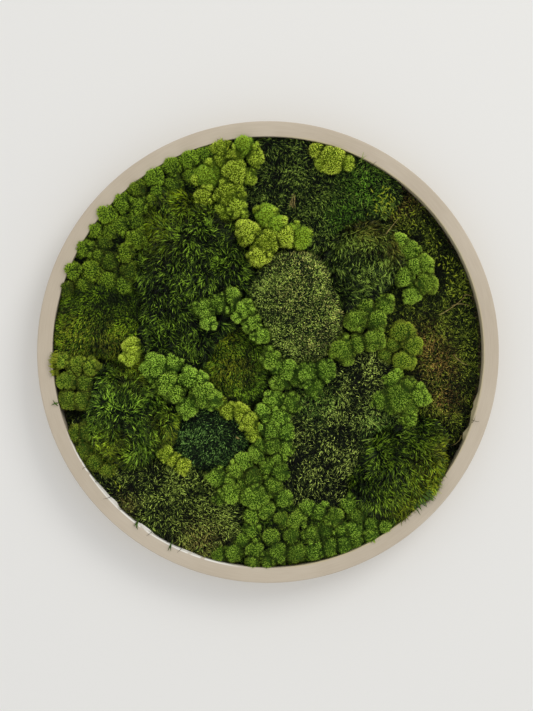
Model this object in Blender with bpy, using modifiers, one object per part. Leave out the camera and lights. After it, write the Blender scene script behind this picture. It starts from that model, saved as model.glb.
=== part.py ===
"""Round framed moss panel: a turned wooden ring, a backing board and preserved moss.

The origin is the centre of the panel's back, on the wall plane. X runs right, Z up,
and the panel faces -Y. Heights of moss are counted from the ring's front face, and
are negative where the moss lies inside the ring.
"""

import math

import bmesh
import bpy
from mathutils import Matrix, Vector, noise

MM = 0.001

# Wooden ring, with a rebate at the back that takes the board
OUTER_RADIUS = 300 * MM
FACE_WIDTH = 20 * MM
RING_DEPTH = 50 * MM
OUTER_ROUNDING = 2.0 * MM
INNER_ROUNDING = 1.0 * MM
REBATE_WIDTH = 7.8 * MM
TURNED_STEPS = 64

# Backing board and the hanger sunk in its back
BOARD_THICKNESS = 9 * MM
GAP = 0.3 * MM
HANGER_HEIGHT = 222 * MM
HANGER_LENGTH = 64 * MM
HANGER_WIDTH = 13 * MM
HANGER_THICKNESS = 0.9 * MM
HANGER_BOW = 1.1 * MM
HANGER_TEETH = 11
HANGER_TOOTHED_LENGTH = 40 * MM
HANGER_END = 9 * MM
TOOTH_DEPTH = 2.2 * MM
RECESS_DEPTH = 3.0 * MM
RECESS_MARGIN = 4 * MM
NAIL_SPACING = 56 * MM
NAIL_HEAD_RADIUS = 2.4 * MM
NAIL_HEAD_TAPER = 0.8
NAIL_HEAD_THICKNESS = 0.7 * MM

# Flat moss that covers the whole board, under everything else
BED_TOP = -26 * MM
# How far moss may reach over the ring's front face
OVERHANG_RADIUS = 297 * MM
TALLEST = 60 * MM
# Space between neighbouring clumps
CLEARANCE = 1.4 * MM
# Fineness of the forms: the grain they are fused at, and the faces of a mound, lobe or tuft
MOUND_GRAIN = 4 * MM
MOUND_FACES = 200
MAT_GRAIN = 3 * MM
MAT_FACES = 30
TUFT_GRAIN = 2 * MM
TUFT_FACES = 18
FLAT_ANGLE = math.radians(1.5)
# How square the lobes stand: 2 is a ball, more is flat on top with steep sides
MOUND_SQUARENESS = 2.3
MAT_SQUARENESS = 3.4
TUFT_SQUARENESS = 2.1
# Size of the lobes' swellings, as a share of their own size, and how close these lie
MOUND_BUMPS = 0.10
MAT_BUMPS = 0.14
TUFT_BUMPS = 0.14
BUMPS_ACROSS = 1.7
BUMPS_SHIFT = 40
# How deep mounds and tufts start under the bed's surface, in millimetres
MOUND_ROOT = 1
TUFT_ROOT = 3

# Long-leaved mood moss: shaggy mounds. Each lobe is x, z, half width, half height,
# top and turn in degrees, in millimetres
MOOD_MOSS = {
    "mood_moss_upper_left": [
        (-98, 126, 66, 76, 20, 0), (-96, 66, 62, 62, 10, 0), (-100, 18, 38, 44, 0, 0),
        (-118, 172, 46, 42, 12, 20), (-138, 104, 38, 60, 8, 0), (-136, 34, 40, 54, 4, 15),
        (-52, 96, 44, 48, 2, 0),
    ],
    "mood_moss_lower_right": [
        (178, -152, 60, 62, 20, 0), (148, -178, 44, 44, 12, 0), (200, -118, 38, 32, 6, -20),
        (170, -200, 50, 26, 4, 40),
    ],
    "mood_moss_lower_left": [
        (-186, -92, 58, 62, 18, 0), (-154, -90, 40, 46, 10, 0), (-192, -46, 50, 32, 6, 10),
        (-166, -20, 42, 38, 0, -20),
    ],
    "mood_moss_upper_right": [
        (128, 120, 58, 52, 12, -10), (108, 84, 40, 42, 4, 0),
    ],
}

# Cushion moss: smooth domes
CUSHION_MOSS = {
    "cushion_moss_centre": [
        (36, 62, 72, 74, 16, 0), (40, 24, 58, 46, 10, 0),
    ],
    "cushion_moss_left": [
        (-222, 46, 62, 54, 5, 0), (-192, 28, 54, 44, -2, 0), (-256, 22, 34, 50, 2, 0),
    ],
    "cushion_moss_middle": [
        (-42, -16, 50, 62, -3, 0), (-52, 34, 46, 40, -8, 0), (-66, -50, 36, 30, -12, 0),
    ],
    "cushion_moss_dark": [
        (-76, -110, 54, 50, -2, 0),
    ],
}

# Forest and flat moss: low mats that the lichen is glued on and between
MATS = {
    "forest_moss_centre": [
        (92, -98, 70, 62, -2, 40), (128, -48, 56, 54, -5, 0), (48, -150, 50, 56, -6, 0),
        (96, -178, 56, 46, -6, 0), (52, -60, 50, 50, -9, 0), (150, -104, 44, 40, -9, 0),
    ],
    "forest_moss_lower_left": [
        (-130, -190, 70, 54, -4, -20), (-200, -178, 60, 54, -4, 40),
        (-84, -218, 60, 58, -5, 10), (-140, -238, 80, 40, -4, -28), (-240, -130, 40, 50, -5, 20),
    ],
    "forest_moss_top": [
        (54, 214, 68, 60, -5, 0), (116, 214, 60, 54, -6, 0), (-4, 222, 54, 66, -9, 0),
        (72, 168, 62, 46, -7, 0), (2, 132, 52, 60, -12, 0), (40, 262, 96, 30, -3, 0),
        (122, 240, 50, 30, -6, -24),
    ],
    "forest_moss_left": [
        (-188, 140, 70, 70, -9, 35), (-142, 206, 70, 60, -8, 35),
        (-226, 108, 60, 50, -9, 40), (-62, 238, 62, 48, -8, 0), (-110, 234, 60, 40, -8, 20),
    ],
    "forest_moss_bottom": [
        (8, -238, 70, 50, -9, 0), (70, -234, 68, 50, -8, 0), (134, -222, 64, 50, -8, 30),
        (170, -216, 50, 30, -9, 40),
    ],
    "flat_moss_right": [
        (182, 200, 62, 52, -20, 35), (228, 150, 58, 66, -21, 25), (254, 78, 46, 72, -20, 8),
        (200, 34, 60, 66, -17, 0), (258, 0, 44, 70, -20, -4), (216, -46, 58, 62, -17, 0),
        (240, -100, 54, 64, -20, -20), (156, 60, 56, 60, -13, 0), (192, 150, 40, 50, -17, 0),
    ],
}

# Reindeer lichen: round tufts glued in groups. Each tuft is x, z, radius and top.
# The first table is tufts that stand in front of the mounds
FRONT_LICHEN = {
    "lichen_centre_arc": [
        (-83, 56, 16, 22), (-78, 39, 13, 18), (-62, 63, 15, 22), (-48, 72, 14, 20),
        (-31, 55, 16, 18), (-20, 38, 15, 16), (-9, 22, 14, 14), (-44, 60, 12, 14),
    ],
}
LICHEN = {
    "lichen_left_rim": [
        (-240, 135, 15, 8), (-230, 108, 16, 5), (-254, 106, 14, 8), (-206, 118, 16, 3),
        (-186, 130, 15, 4), (-182, 106, 16, 1), (-188, 86, 14, 0), (-208, 94, 16, 0),
        (-222, 126, 14, 2), (-214, 142, 14, 2), (-264, 82, 13, 6), (-240, 90, 14, 2),
    ],
    "lichen_left_upper": [
        (-211, 180, 16, 9), (-192, 164, 15, 4), (-191, 196, 15, 8), (-171, 212, 15, 8),
        (-168, 192, 15, 4), (-170, 148, 16, 4), (-206, 157, 15, 2), (-226, 160, 14, 6),
        (-172, 170, 14, 2), (-150, 196, 14, 2),
    ],
    "lichen_upper_dark": [
        (-148, 230, 15, 8), (-124, 219, 15, 3), (-126, 243, 15, 8), (-104, 252, 15, 9),
        (-84, 258, 15, 5), (-142, 208, 14, 2), (-100, 230, 14, 2),
    ],
    "lichen_top_left": [
        (-77, 229, 21, 10), (-84, 203, 15, 8), (-60, 266, 17, 9), (-42, 236, 20, 14),
        (-27, 228, 14, 8), (-50, 205, 22, 14), (-40, 188, 16, 14), (-30, 268, 17, 13),
        (-18, 254, 14, 10), (-62, 248, 14, 6), (-42, 256, 14, 8), (-60, 184, 14, 8),
    ],
    "lichen_upper_middle": [
        (-2, 178, 17, 8), (10, 166, 15, 10), (-27, 155, 18, 16), (-3, 143, 18, 17),
        (-11, 126, 17, 18), (24, 151, 16, 10), (43, 150, 17, 4), (34, 160, 12, 4),
    ],
    "lichen_top_right": [
        (84, 252, 21, 10), (62, 262, 14, 4), (104, 246, 13, 5), (70, 245, 13, 3),
    ],
    "lichen_right_upper": [
        (184, 131, 16, 4), (203, 114, 15, 4), (206, 91, 17, 6), (177, 98, 15, 8),
        (188, 76, 14, 2), (190, 112, 14, 6), (172, 144, 13, 2),
    ],
    "lichen_right_inner": [
        (152, 60, 15, 2), (126, 58, 15, 4), (115, 42, 18, 10), (140, 41, 17, 8),
        (137, 17, 18, 12), (98, 4, 19, 8), (118, 12, 15, 6),
    ],
    "lichen_right_arc": [
        (176, 26, 17, 2), (188, 9, 15, 4), (178, -9, 16, 2), (164, 10, 14, -4), (152, -6, 13, -5),
    ],
    "lichen_lower_right": [
        (163, -36, 15, 2), (170, -56, 23, 7), (147, -63, 17, 2), (196, -58, 16, 4),
        (182, -72, 15, 2), (160, -70, 14, 0), (184, -90, 13, 4), (182, -104, 13, 4),
        (183, -44, 14, 4),
    ],
    "lichen_under_cushion": [
        (5, -8, 16, 14), (26, -24, 16, 14), (16, -38, 15, 6), (49, -29, 16, 14),
        (74, -24, 16, 10), (60, -46, 15, 6), (38, -34, 13, 6), (14, -20, 13, 10),
    ],
    "lichen_centre_column": [
        (29, -66, 16, 4), (9, -64, 16, 4), (-6, -78, 14, 6), (15, -84, 15, 4),
        (3, -101, 16, 6), (5, -121, 15, 4), (23, -125, 14, 2), (-9, -120, 13, 2),
        (22, -104, 15, 0), (-15, -134, 13, 4), (14, -140, 13, 2),
    ],
    "lichen_yellow_chain": [
        (-51, -77, 14, 2), (-36, -79, 14, 6), (-24, -91, 14, 10), (-19, -106, 13, 6),
        (-61, -68, 12, -2),
    ],
    "lichen_lower_middle": [
        (-33, -143, 14, 4), (-43, -154, 14, 4), (-65, -164, 15, 4), (-51, -167, 14, 4),
        (-20, -162, 16, 4), (5, -173, 16, 2), (16, -156, 15, 4), (0, -150, 13, 2),
        (-49, -183, 16, 8), (-17, -187, 20, 10), (-4, -206, 15, 2), (-20, -213, 14, 0),
        (-34, -174, 14, -2), (-62, -190, 12, 0), (20, -190, 14, -2),
    ],
    "lichen_left_chain": [
        (-146, -19, 19, 18), (-124, -18, 15, 10), (-132, -40, 18, 16), (-122, -54, 15, 14),
        (-103, -34, 16, 12), (-86, -54, 20, 14), (-88, -36, 12, 8), (-104, -71, 16, 10),
        (-72, -62, 14, 8),
    ],
    "lichen_yellow_left": [
        (-177, 8, 14, 14), (-178, -6, 14, 12),
    ],
    "lichen_yellow_lower": [
        (-134, -132, 12, 3), (-111, -149, 13, 3), (-123, -141, 12, 1),
    ],
    "lichen_rim_middle": [
        (-268, -10, 13, 8), (-250, -17, 15, 8), (-232, -20, 14, 6), (-260, -37, 16, 8),
        (-262, -62, 15, 6), (-242, -62, 15, 4), (-240, -40, 15, 4),
    ],
    "lichen_rim_lower": [
        (-236, -104, 16, 4), (-240, -128, 16, 4), (-226, -143, 16, 4), (-207, -153, 14, 5),
        (-252, -106, 14, 3),
    ],
    "lichen_bottom_left": [
        (-22, -232, 14, -2), (3, -242, 15, 0), (18, -218, 14, 0), (-16, -258, 15, 3),
        (12, -262, 17, 4), (-20, -273, 13, 4), (0, -273, 13, 4), (-46, -262, 15, 1),
        (-33, -246, 14, -2), (-64, -262, 14, -1), (31, -240, 15, -1), (36, -263, 16, 3),
    ],
    "lichen_bottom_middle": [
        (38, -218, 15, 2), (52, -203, 13, 0), (67, -207, 14, 0), (86, -216, 15, 4),
        (57, -237, 16, 2), (75, -232, 15, -1), (60, -259, 15, 3), (80, -255, 15, 3),
        (99, -250, 15, 3), (96, -233, 15, -1),
    ],
    "lichen_bottom_right": [
        (108, -198, 15, 2), (116, -213, 15, 2), (113, -230, 15, 4), (136, -240, 15, 4),
        (116, -247, 14, 0), (154, -230, 14, 3), (134, -224, 15, 0), (127, -206, 13, -1),
    ],
}

MOOD_GREEN = (0.045, 0.110, 0.012)
CUSHION_GREEN = (0.060, 0.085, 0.018)
MAT_COLOURS = {
    "forest_moss_centre": (0.035, 0.062, 0.012),
    "forest_moss_lower_left": (0.050, 0.072, 0.018),
    "forest_moss_top": (0.028, 0.056, 0.012),
    "forest_moss_left": (0.040, 0.085, 0.010),
    "forest_moss_bottom": (0.045, 0.100, 0.012),
    "flat_moss_right": (0.070, 0.068, 0.018),
}
LICHEN_GREEN = (0.110, 0.240, 0.025)
LICHEN_YELLOW = (0.250, 0.330, 0.035)
LICHEN_DARK = (0.060, 0.150, 0.020)
LICHEN_COLOURS = {
    "lichen_top_left": LICHEN_YELLOW,
    "lichen_top_right": LICHEN_YELLOW,
    "lichen_upper_middle": LICHEN_YELLOW,
    "lichen_yellow_left": LICHEN_YELLOW,
    "lichen_yellow_lower": LICHEN_YELLOW,
    "lichen_rim_middle": LICHEN_YELLOW,
    "lichen_yellow_chain": LICHEN_YELLOW,
    "lichen_upper_dark": LICHEN_DARK,
    "lichen_left_rim": LICHEN_DARK,
    "lichen_left_upper": LICHEN_DARK,
}


def clear_scene():
    """Empties the file of objects."""
    for item in list(bpy.data.objects):
        bpy.data.objects.remove(item, do_unlink=True)


clear_scene()
panel = bpy.data.collections.new("framed_moss_panel")
cutters = bpy.data.collections.new("cutters")
bpy.context.scene.collection.children.link(panel)
bpy.context.scene.collection.children.link(cutters)


def depth(height):
    """Y of a point at this height over the ring's front face."""
    return -(RING_DEPTH + height)


def finish(name, colour, roughness, metallic=0.0):
    """A plain painted, metal or plant finish."""
    material = bpy.data.materials.new(name)
    material.use_nodes = True
    shader = material.node_tree.nodes["Principled BSDF"]
    shader.inputs["Base Color"].default_value = (*colour, 1.0)
    shader.inputs["Roughness"].default_value = roughness
    shader.inputs["Metallic"].default_value = metallic
    material.diffuse_color = (*colour, 1.0)
    return material


def new_object(name, mesh, collection):
    """Adds a mesh to the scene under its own name."""
    item = bpy.data.objects.new(name, mesh)
    collection.objects.link(item)
    if collection is cutters:
        item.hide_render = True
        item.display_type = "WIRE"
    return item


def evaluated_mesh(item):
    """The mesh of an object with its modifiers applied."""
    graph = bpy.context.evaluated_depsgraph_get()
    graph.update()
    return bpy.data.meshes.new_from_object(item.evaluated_get(graph))


def bake_modifiers(item):
    """Applies an object's modifiers to its mesh."""
    mesh = evaluated_mesh(item)
    item.modifiers.clear()
    item.data = mesh


def combine(item, operation, others):
    """Joins an object with others, or cuts it by them, in one Boolean."""
    if not others:
        return
    operands = bpy.data.collections.new("operands")
    for other in others:
        operands.objects.link(other)
    boolean = item.modifiers.new(operation.lower(), "BOOLEAN")
    boolean.operation = operation
    boolean.operand_type = "COLLECTION"
    boolean.collection = operands
    boolean.solver = "EXACT"
    bake_modifiers(item)
    bpy.data.collections.remove(operands)


def turned(name, profile, collection):
    """Turns a closed or axis-to-axis profile of radius and depth about the Y axis."""
    mesh = bpy.data.meshes.new(name)
    points = [(radius, 0.0, height) for radius, height in profile]
    edges = [(i, i + 1) for i in range(len(points) - 1)]
    if profile[0][0] > 0:
        edges.append((len(points) - 1, 0))
    mesh.from_pydata(points, edges, [])
    item = new_object(name, mesh, collection)
    item.rotation_euler = (math.radians(90), 0, 0)
    screw = item.modifiers.new("turn", "SCREW")
    screw.axis = "Z"
    screw.angle = math.radians(360)
    screw.steps = TURNED_STEPS
    screw.render_steps = TURNED_STEPS
    screw.use_merge_vertices = True
    screw.merge_threshold = 0.00005
    return item


def rounded_corner(radius_at, height_at, rounding, first, last, points=3):
    """Points of a rounded corner about its centre, from one angle to another."""
    corner = []
    for i in range(points):
        angle = math.radians(first + (last - first) * i / (points - 1))
        corner.append((radius_at + rounding * math.cos(angle), height_at + rounding * math.sin(angle)))
    return corner


def shade(item, angle=35):
    """Smooth shading that keeps real edges sharp."""
    item.data.shade_smooth()
    item.data.set_sharp_from_angle(angle=math.radians(angle))


# Wooden ring
inner_radius = OUTER_RADIUS - FACE_WIDTH
rebate_radius = inner_radius + REBATE_WIDTH
outer_corner = rounded_corner(
    OUTER_RADIUS - OUTER_ROUNDING, RING_DEPTH - OUTER_ROUNDING, OUTER_ROUNDING, 90, 0
)
inner_corner = rounded_corner(
    inner_radius + INNER_ROUNDING, RING_DEPTH - INNER_ROUNDING, INNER_ROUNDING, 180, 90
)
ring_profile = outer_corner + [
    (OUTER_RADIUS, 0.0),
    (rebate_radius, 0.0),
    (rebate_radius, BOARD_THICKNESS + GAP),
    (inner_radius, BOARD_THICKNESS + GAP),
] + inner_corner
ring = turned("frame_ring", ring_profile, panel)
ring.data.materials.append(finish("painted_wood", (0.53, 0.45, 0.36), 0.55))
ring.data.shade_smooth()

# Backing board, flush with the ring's back
board_radius = rebate_radius - GAP
board_profile = [
    (0.0, BOARD_THICKNESS),
    (board_radius, BOARD_THICKNESS),
    (board_radius, 0.0),
    (0.0, 0.0),
]
board = turned("backing_board", board_profile, panel)
board.data.materials.append(finish("fibreboard", (0.36, 0.25, 0.15), 0.8))
bake_modifiers(board)

recess_length = HANGER_LENGTH + 2 * RECESS_MARGIN
recess_width = HANGER_WIDTH + 2 * RECESS_MARGIN
recess_mesh = bpy.data.meshes.new("hanger_recess")
recess_form = bmesh.new()
bmesh.ops.create_cube(recess_form, size=1.0)
bmesh.ops.scale(recess_form, vec=(recess_length, 2 * RECESS_DEPTH, recess_width), verts=recess_form.verts)
upright_edges = [e for e in recess_form.edges if abs((e.verts[0].co - e.verts[1].co).y) > RECESS_DEPTH]
bmesh.ops.bevel(
    recess_form, geom=upright_edges, offset=RECESS_MARGIN, segments=3, profile=0.5, affect="EDGES"
)
recess_form.to_mesh(recess_mesh)
recess_form.free()
recess = new_object("hanger_recess", recess_mesh, cutters)
recess.location = (0, 0, HANGER_HEIGHT)
combine(board, "DIFFERENCE", [recess])


def hanger_outline():
    """Outline of the hanger strip in X and Z: straight on top, toothed below."""
    half = HANGER_LENGTH / 2
    foot = half - HANGER_END
    toothed = HANGER_TOOTHED_LENGTH
    pitch = toothed / HANGER_TEETH
    outline = [(-half, HANGER_WIDTH / 2), (-half, -HANGER_WIDTH / 2), (-foot, -HANGER_WIDTH / 2)]
    for i in range(HANGER_TEETH):
        left = -toothed / 2 + i * pitch
        outline.append((left, -HANGER_WIDTH / 2))
        outline.append((left + pitch / 2, -HANGER_WIDTH / 2 + TOOTH_DEPTH))
    outline.append((toothed / 2, -HANGER_WIDTH / 2))
    outline += [(foot, -HANGER_WIDTH / 2), (half, -HANGER_WIDTH / 2), (half, HANGER_WIDTH / 2)]
    outline += [(foot, HANGER_WIDTH / 2), (toothed / 2, HANGER_WIDTH / 2)]
    outline += [(-toothed / 2, HANGER_WIDTH / 2), (-foot, HANGER_WIDTH / 2)]
    return outline


def hanger_strip():
    """Flat steel strip whose toothed middle is bowed away from the board."""
    form = bmesh.new()
    floor = -(RECESS_DEPTH - GAP)
    corners = [form.verts.new((x, floor, z)) for x, z in hanger_outline()]
    face = form.faces.new(corners)
    extruded = bmesh.ops.extrude_face_region(form, geom=[face])
    moved = [v for v in extruded["geom"] if isinstance(v, bmesh.types.BMVert)]
    bmesh.ops.translate(form, verts=moved, vec=(0, HANGER_THICKNESS, 0))
    for vert in form.verts:
        if abs(vert.co.x) < HANGER_TOOTHED_LENGTH / 2 + GAP:
            vert.co.y += HANGER_BOW
    bmesh.ops.triangulate(form, faces=form.faces)
    bmesh.ops.recalc_face_normals(form, faces=form.faces)
    mesh = bpy.data.meshes.new("hanger_plate")
    form.to_mesh(mesh)
    form.free()
    item = new_object("hanger_plate", mesh, panel)
    item.location = (0, 0, HANGER_HEIGHT)
    return item


steel = finish("zinc_steel", (0.55, 0.56, 0.58), 0.35, 1.0)
hanger = hanger_strip()
hanger.data.materials.append(steel)
for side, label in ((-1, "left"), (1, "right")):
    nail_y = -(RECESS_DEPTH - GAP) + HANGER_THICKNESS + GAP + NAIL_HEAD_THICKNESS / 2
    nail_form = bmesh.new()
    bmesh.ops.create_cone(
        nail_form,
        cap_ends=True,
        segments=12,
        radius1=NAIL_HEAD_RADIUS,
        radius2=NAIL_HEAD_RADIUS * NAIL_HEAD_TAPER,
        depth=NAIL_HEAD_THICKNESS,
        matrix=Matrix.Rotation(math.radians(-90), 4, "X"),
    )
    nail_mesh = bpy.data.meshes.new("hanger_nail_" + label)
    nail_form.to_mesh(nail_mesh)
    nail_form.free()
    nail = new_object("hanger_nail_" + label, nail_mesh, panel)
    nail.location = (side * NAIL_SPACING / 2, nail_y, HANGER_HEIGHT)
    nail.data.materials.append(steel)

# Space that the moss may fill: inside the ring, and over its face above it
room = turned(
    "moss_room",
    [
        (0.0, RING_DEPTH + TALLEST),
        (OVERHANG_RADIUS, RING_DEPTH + TALLEST),
        (OVERHANG_RADIUS, RING_DEPTH + GAP),
        (inner_radius - GAP, RING_DEPTH + GAP),
        (inner_radius - GAP, RING_DEPTH + BED_TOP + GAP),
        (0.0, RING_DEPTH + BED_TOP + GAP),
    ],
    cutters,
)

# Flat moss bed over the whole board
bed = turned(
    "flat_moss_bed",
    [
        (0.0, RING_DEPTH + BED_TOP),
        (inner_radius - GAP, RING_DEPTH + BED_TOP),
        (inner_radius - GAP, BOARD_THICKNESS + GAP),
        (0.0, BOARD_THICKNESS + GAP),
    ],
    panel,
)
bed.data.materials.append(finish("bed_moss", (0.03, 0.04, 0.012), 0.95))


class Lump:
    """One rounded lobe or tuft of moss, as a bumpy ellipsoid."""

    def __init__(self, x, z, half_width, half_height, centre, reach, turn, squareness, bumps):
        self.place = Vector((x * MM, depth(centre * MM), z * MM))
        self.half = Vector((half_width * MM, reach * MM, half_height * MM))
        self.turn = Matrix.Rotation(math.radians(turn), 3, "Y")
        self.squareness = squareness
        self.bumps = bumps

    def add_to(self, form):
        """Adds the lobe to a mesh being formed."""
        made = bmesh.ops.create_icosphere(form, subdivisions=4, radius=1.0)
        offset = self.place * BUMPS_SHIFT
        for vert in made["verts"]:
            unit = vert.co.copy()
            across = min(1.0, math.hypot(unit.x, unit.z))
            fullness = (1 - across**self.squareness) ** (1 / self.squareness)
            unit.y = math.copysign(fullness, unit.y)
            swell = 1 + self.bumps * noise.noise(unit * BUMPS_ACROSS + offset)
            vert.co = self.place + self.turn @ (unit * self.half * swell)


def mound_lobes(rows, squareness, bumps):
    """Lobes that swell up from the bed, widest at their foot."""
    foot = BED_TOP / MM - MOUND_ROOT
    return [
        Lump(x, z, wide, high, foot, top - foot, turn, squareness, bumps)
        for x, z, wide, high, top, turn in rows
    ]


def tufts(rows):
    """Round tufts that reach from the bed to their top."""
    foot = BED_TOP / MM - TUFT_ROOT
    shape = (0, TUFT_SQUARENESS, TUFT_BUMPS)
    return [
        Lump(x, z, radius, radius, (foot + top) / 2, (top - foot) / 2, *shape)
        for x, z, radius, top in rows
    ]


def fused(lumps, grain, faces):
    """Lobes grown into one another, as one closed form of about this many faces."""
    mesh = bpy.data.meshes.new("form")
    form = bmesh.new()
    for lump in lumps:
        lump.add_to(form)
    form.to_mesh(mesh)
    form.free()
    item = new_object("form", mesh, cutters)
    remesh = item.modifiers.new("fuse", "REMESH")
    remesh.mode = "VOXEL"
    remesh.voxel_size = grain
    bake_modifiers(item)
    triangles = 2 * len(item.data.polygons)
    decimate = item.modifiers.new("facets", "DECIMATE")
    decimate.ratio = min(1.0, faces / triangles)
    decimate.use_collapse_triangulate = True
    bake_modifiers(item)
    return item


def grown(item):
    """A copy of a form, larger all round by the clearance."""
    copy = new_object("cutter", item.data.copy(), cutters)
    displace = copy.modifiers.new("clearance", "DISPLACE")
    displace.strength = CLEARANCE
    displace.mid_level = 0.0
    bake_modifiers(copy)
    return copy


def corners(item):
    """Lowest and highest corner of a mesh, in world space."""
    points = [item.matrix_world @ vert.co for vert in item.data.vertices]
    low = Vector([min(point[i] for point in points) for i in range(3)])
    high = Vector([max(point[i] for point in points) for i in range(3)])
    return low, high


def near(first, second):
    """True if the boxes of two forms overlap."""
    low, high = corners(first)
    other_low, other_high = corners(second)
    return all(low[i] < other_high[i] and other_low[i] < high[i] for i in range(3))


def tidy(item):
    """Leaves only the largest connected body of a mesh, its nearly flat faces joined."""
    form = bmesh.new()
    form.from_mesh(item.data)
    bmesh.ops.dissolve_limit(form, angle_limit=FLAT_ANGLE, verts=form.verts, edges=form.edges)
    left = set(form.verts)
    bodies = []
    while left:
        body = set()
        reached = [left.pop()]
        while reached:
            vert = reached.pop()
            body.add(vert)
            for edge in vert.link_edges:
                far = edge.other_vert(vert)
                if far in left:
                    left.remove(far)
                    reached.append(far)
        bodies.append(body)
    bodies.sort(key=len)
    for body in bodies[:-1]:
        bmesh.ops.delete(form, geom=list(body), context="VERTS")
    form.to_mesh(item.data)
    form.free()


taller = []


def clump(name, lumps, grain, faces, colour):
    """Fuses lobes into one clump, and trims it to the ring and its taller neighbours."""
    whole = fused(lumps, grain, faces)
    body = new_object(name, whole.data.copy(), panel)
    body.data.name = name
    combine(body, "INTERSECT", [room])
    combine(body, "DIFFERENCE", [cutter for cutter in taller if near(cutter, body)])
    taller.append(grown(whole))
    tidy(body)
    body.data.materials.append(finish(name, colour, 0.9))
    shade(body, 50)
    return body


def glue_lichen(groups):
    """Makes groups of lichen tufts, trimmed to what is in place already."""
    for name, rows in groups.items():
        colour = LICHEN_COLOURS.get(name, LICHEN_GREEN)
        clump(name, tufts(rows), TUFT_GRAIN, TUFT_FACES * len(rows), colour)


# Moss and lichen, those in front first
glue_lichen(FRONT_LICHEN)
for group, colour in ((MOOD_MOSS, MOOD_GREEN), (CUSHION_MOSS, CUSHION_GREEN)):
    for name, rows in group.items():
        lobes = mound_lobes(rows, MOUND_SQUARENESS, MOUND_BUMPS)
        clump(name, lobes, MOUND_GRAIN, MOUND_FACES, colour)
for name, rows in MATS.items():
    lobes = mound_lobes(rows, MAT_SQUARENESS, MAT_BUMPS)
    clump(name, lobes, MAT_GRAIN, MAT_FACES * len(rows), MAT_COLOURS[name])
glue_lichen(LICHEN)
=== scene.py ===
"""Dresses the round framed moss panel: paint on its ring, and moss and lichen grown shoot by
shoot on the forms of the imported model. Lengths are metres, X is right, Z up, and the panel
faces -Y. Heights are counted from the ring's front face towards the viewer."""

import math
from dataclasses import dataclass

import bmesh
import bpy
import numpy as np
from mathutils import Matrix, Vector, noise
from mathutils.bvhtree import BVHTree


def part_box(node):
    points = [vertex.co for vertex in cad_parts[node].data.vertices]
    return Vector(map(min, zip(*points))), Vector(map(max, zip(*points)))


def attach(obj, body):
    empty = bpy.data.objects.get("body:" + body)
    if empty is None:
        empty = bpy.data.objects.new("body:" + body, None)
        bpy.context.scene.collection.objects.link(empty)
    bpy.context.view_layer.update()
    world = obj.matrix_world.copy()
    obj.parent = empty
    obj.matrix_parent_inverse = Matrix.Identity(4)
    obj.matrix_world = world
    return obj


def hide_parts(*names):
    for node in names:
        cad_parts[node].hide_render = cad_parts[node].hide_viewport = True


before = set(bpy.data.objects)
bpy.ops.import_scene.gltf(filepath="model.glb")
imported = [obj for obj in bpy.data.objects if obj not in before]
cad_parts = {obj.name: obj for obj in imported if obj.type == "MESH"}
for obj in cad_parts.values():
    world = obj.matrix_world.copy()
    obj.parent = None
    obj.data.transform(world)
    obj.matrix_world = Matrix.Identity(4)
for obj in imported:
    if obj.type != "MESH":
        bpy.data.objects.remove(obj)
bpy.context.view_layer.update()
MM = 0.001


# Camera, backdrop and light
# The panel hangs on a white wall and is seen straight from the front, by soft daylight that
# comes from the upper right.
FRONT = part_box("frame_ring")[0][1]
CAMERA_DISTANCE = 2.30
PICTURE_HEIGHT = 923 * MM
PICTURE_CENTRE = (-1.9 * MM, -4.5 * MM)
SENSOR = 36.0
SKY_COLOUR = (0.96, 0.965, 0.98, 1.0)
SKY_STRENGTH = 0.79
WINDOW_PLACE = (3.0, -3.9, 3.1)
WINDOW_WIDTH = 2.8
WINDOW_POWER = 88
WINDOW_COLOUR = (1.0, 0.98, 0.94)


def put_in_scene(name, data):
    """A new object of a mesh, a camera or a light."""
    item = bpy.data.objects.new(name, data)
    bpy.context.scene.collection.objects.link(item)
    return item


camera = put_in_scene("camera", bpy.data.cameras.new("camera"))
camera.data.sensor_width = SENSOR
camera.data.lens = SENSOR * CAMERA_DISTANCE / PICTURE_HEIGHT
camera.location = (PICTURE_CENTRE[0], FRONT - CAMERA_DISTANCE, PICTURE_CENTRE[1])
camera.rotation_euler = (math.radians(90), 0, 0)
bpy.context.scene.camera = camera
bpy.context.scene.view_settings.view_transform = "Standard"

world = bpy.data.worlds.new("daylight")
bpy.context.scene.world = world
world.use_nodes = True
sky = world.node_tree.nodes["Background"]
sky.inputs["Color"].default_value = SKY_COLOUR
sky.inputs["Strength"].default_value = SKY_STRENGTH

window = put_in_scene("window_light", bpy.data.lights.new("window_light", "AREA"))
window.data.size = WINDOW_WIDTH
window.data.energy = WINDOW_POWER
window.data.color = WINDOW_COLOUR
window.location = WINDOW_PLACE
window.rotation_euler = (Vector((0, 0, 0)) - Vector(WINDOW_PLACE)).to_track_quat("-Z", "Y").to_euler()


def srgb(red, green, blue):
    """A colour on the 0 to 255 scale, as the linear one that a shader takes."""
    steps = (channel / 255 for channel in (red, green, blue))
    return tuple(v / 12.92 if v <= 0.04045 else ((v + 0.055) / 1.055) ** 2.4 for v in steps)


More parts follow.
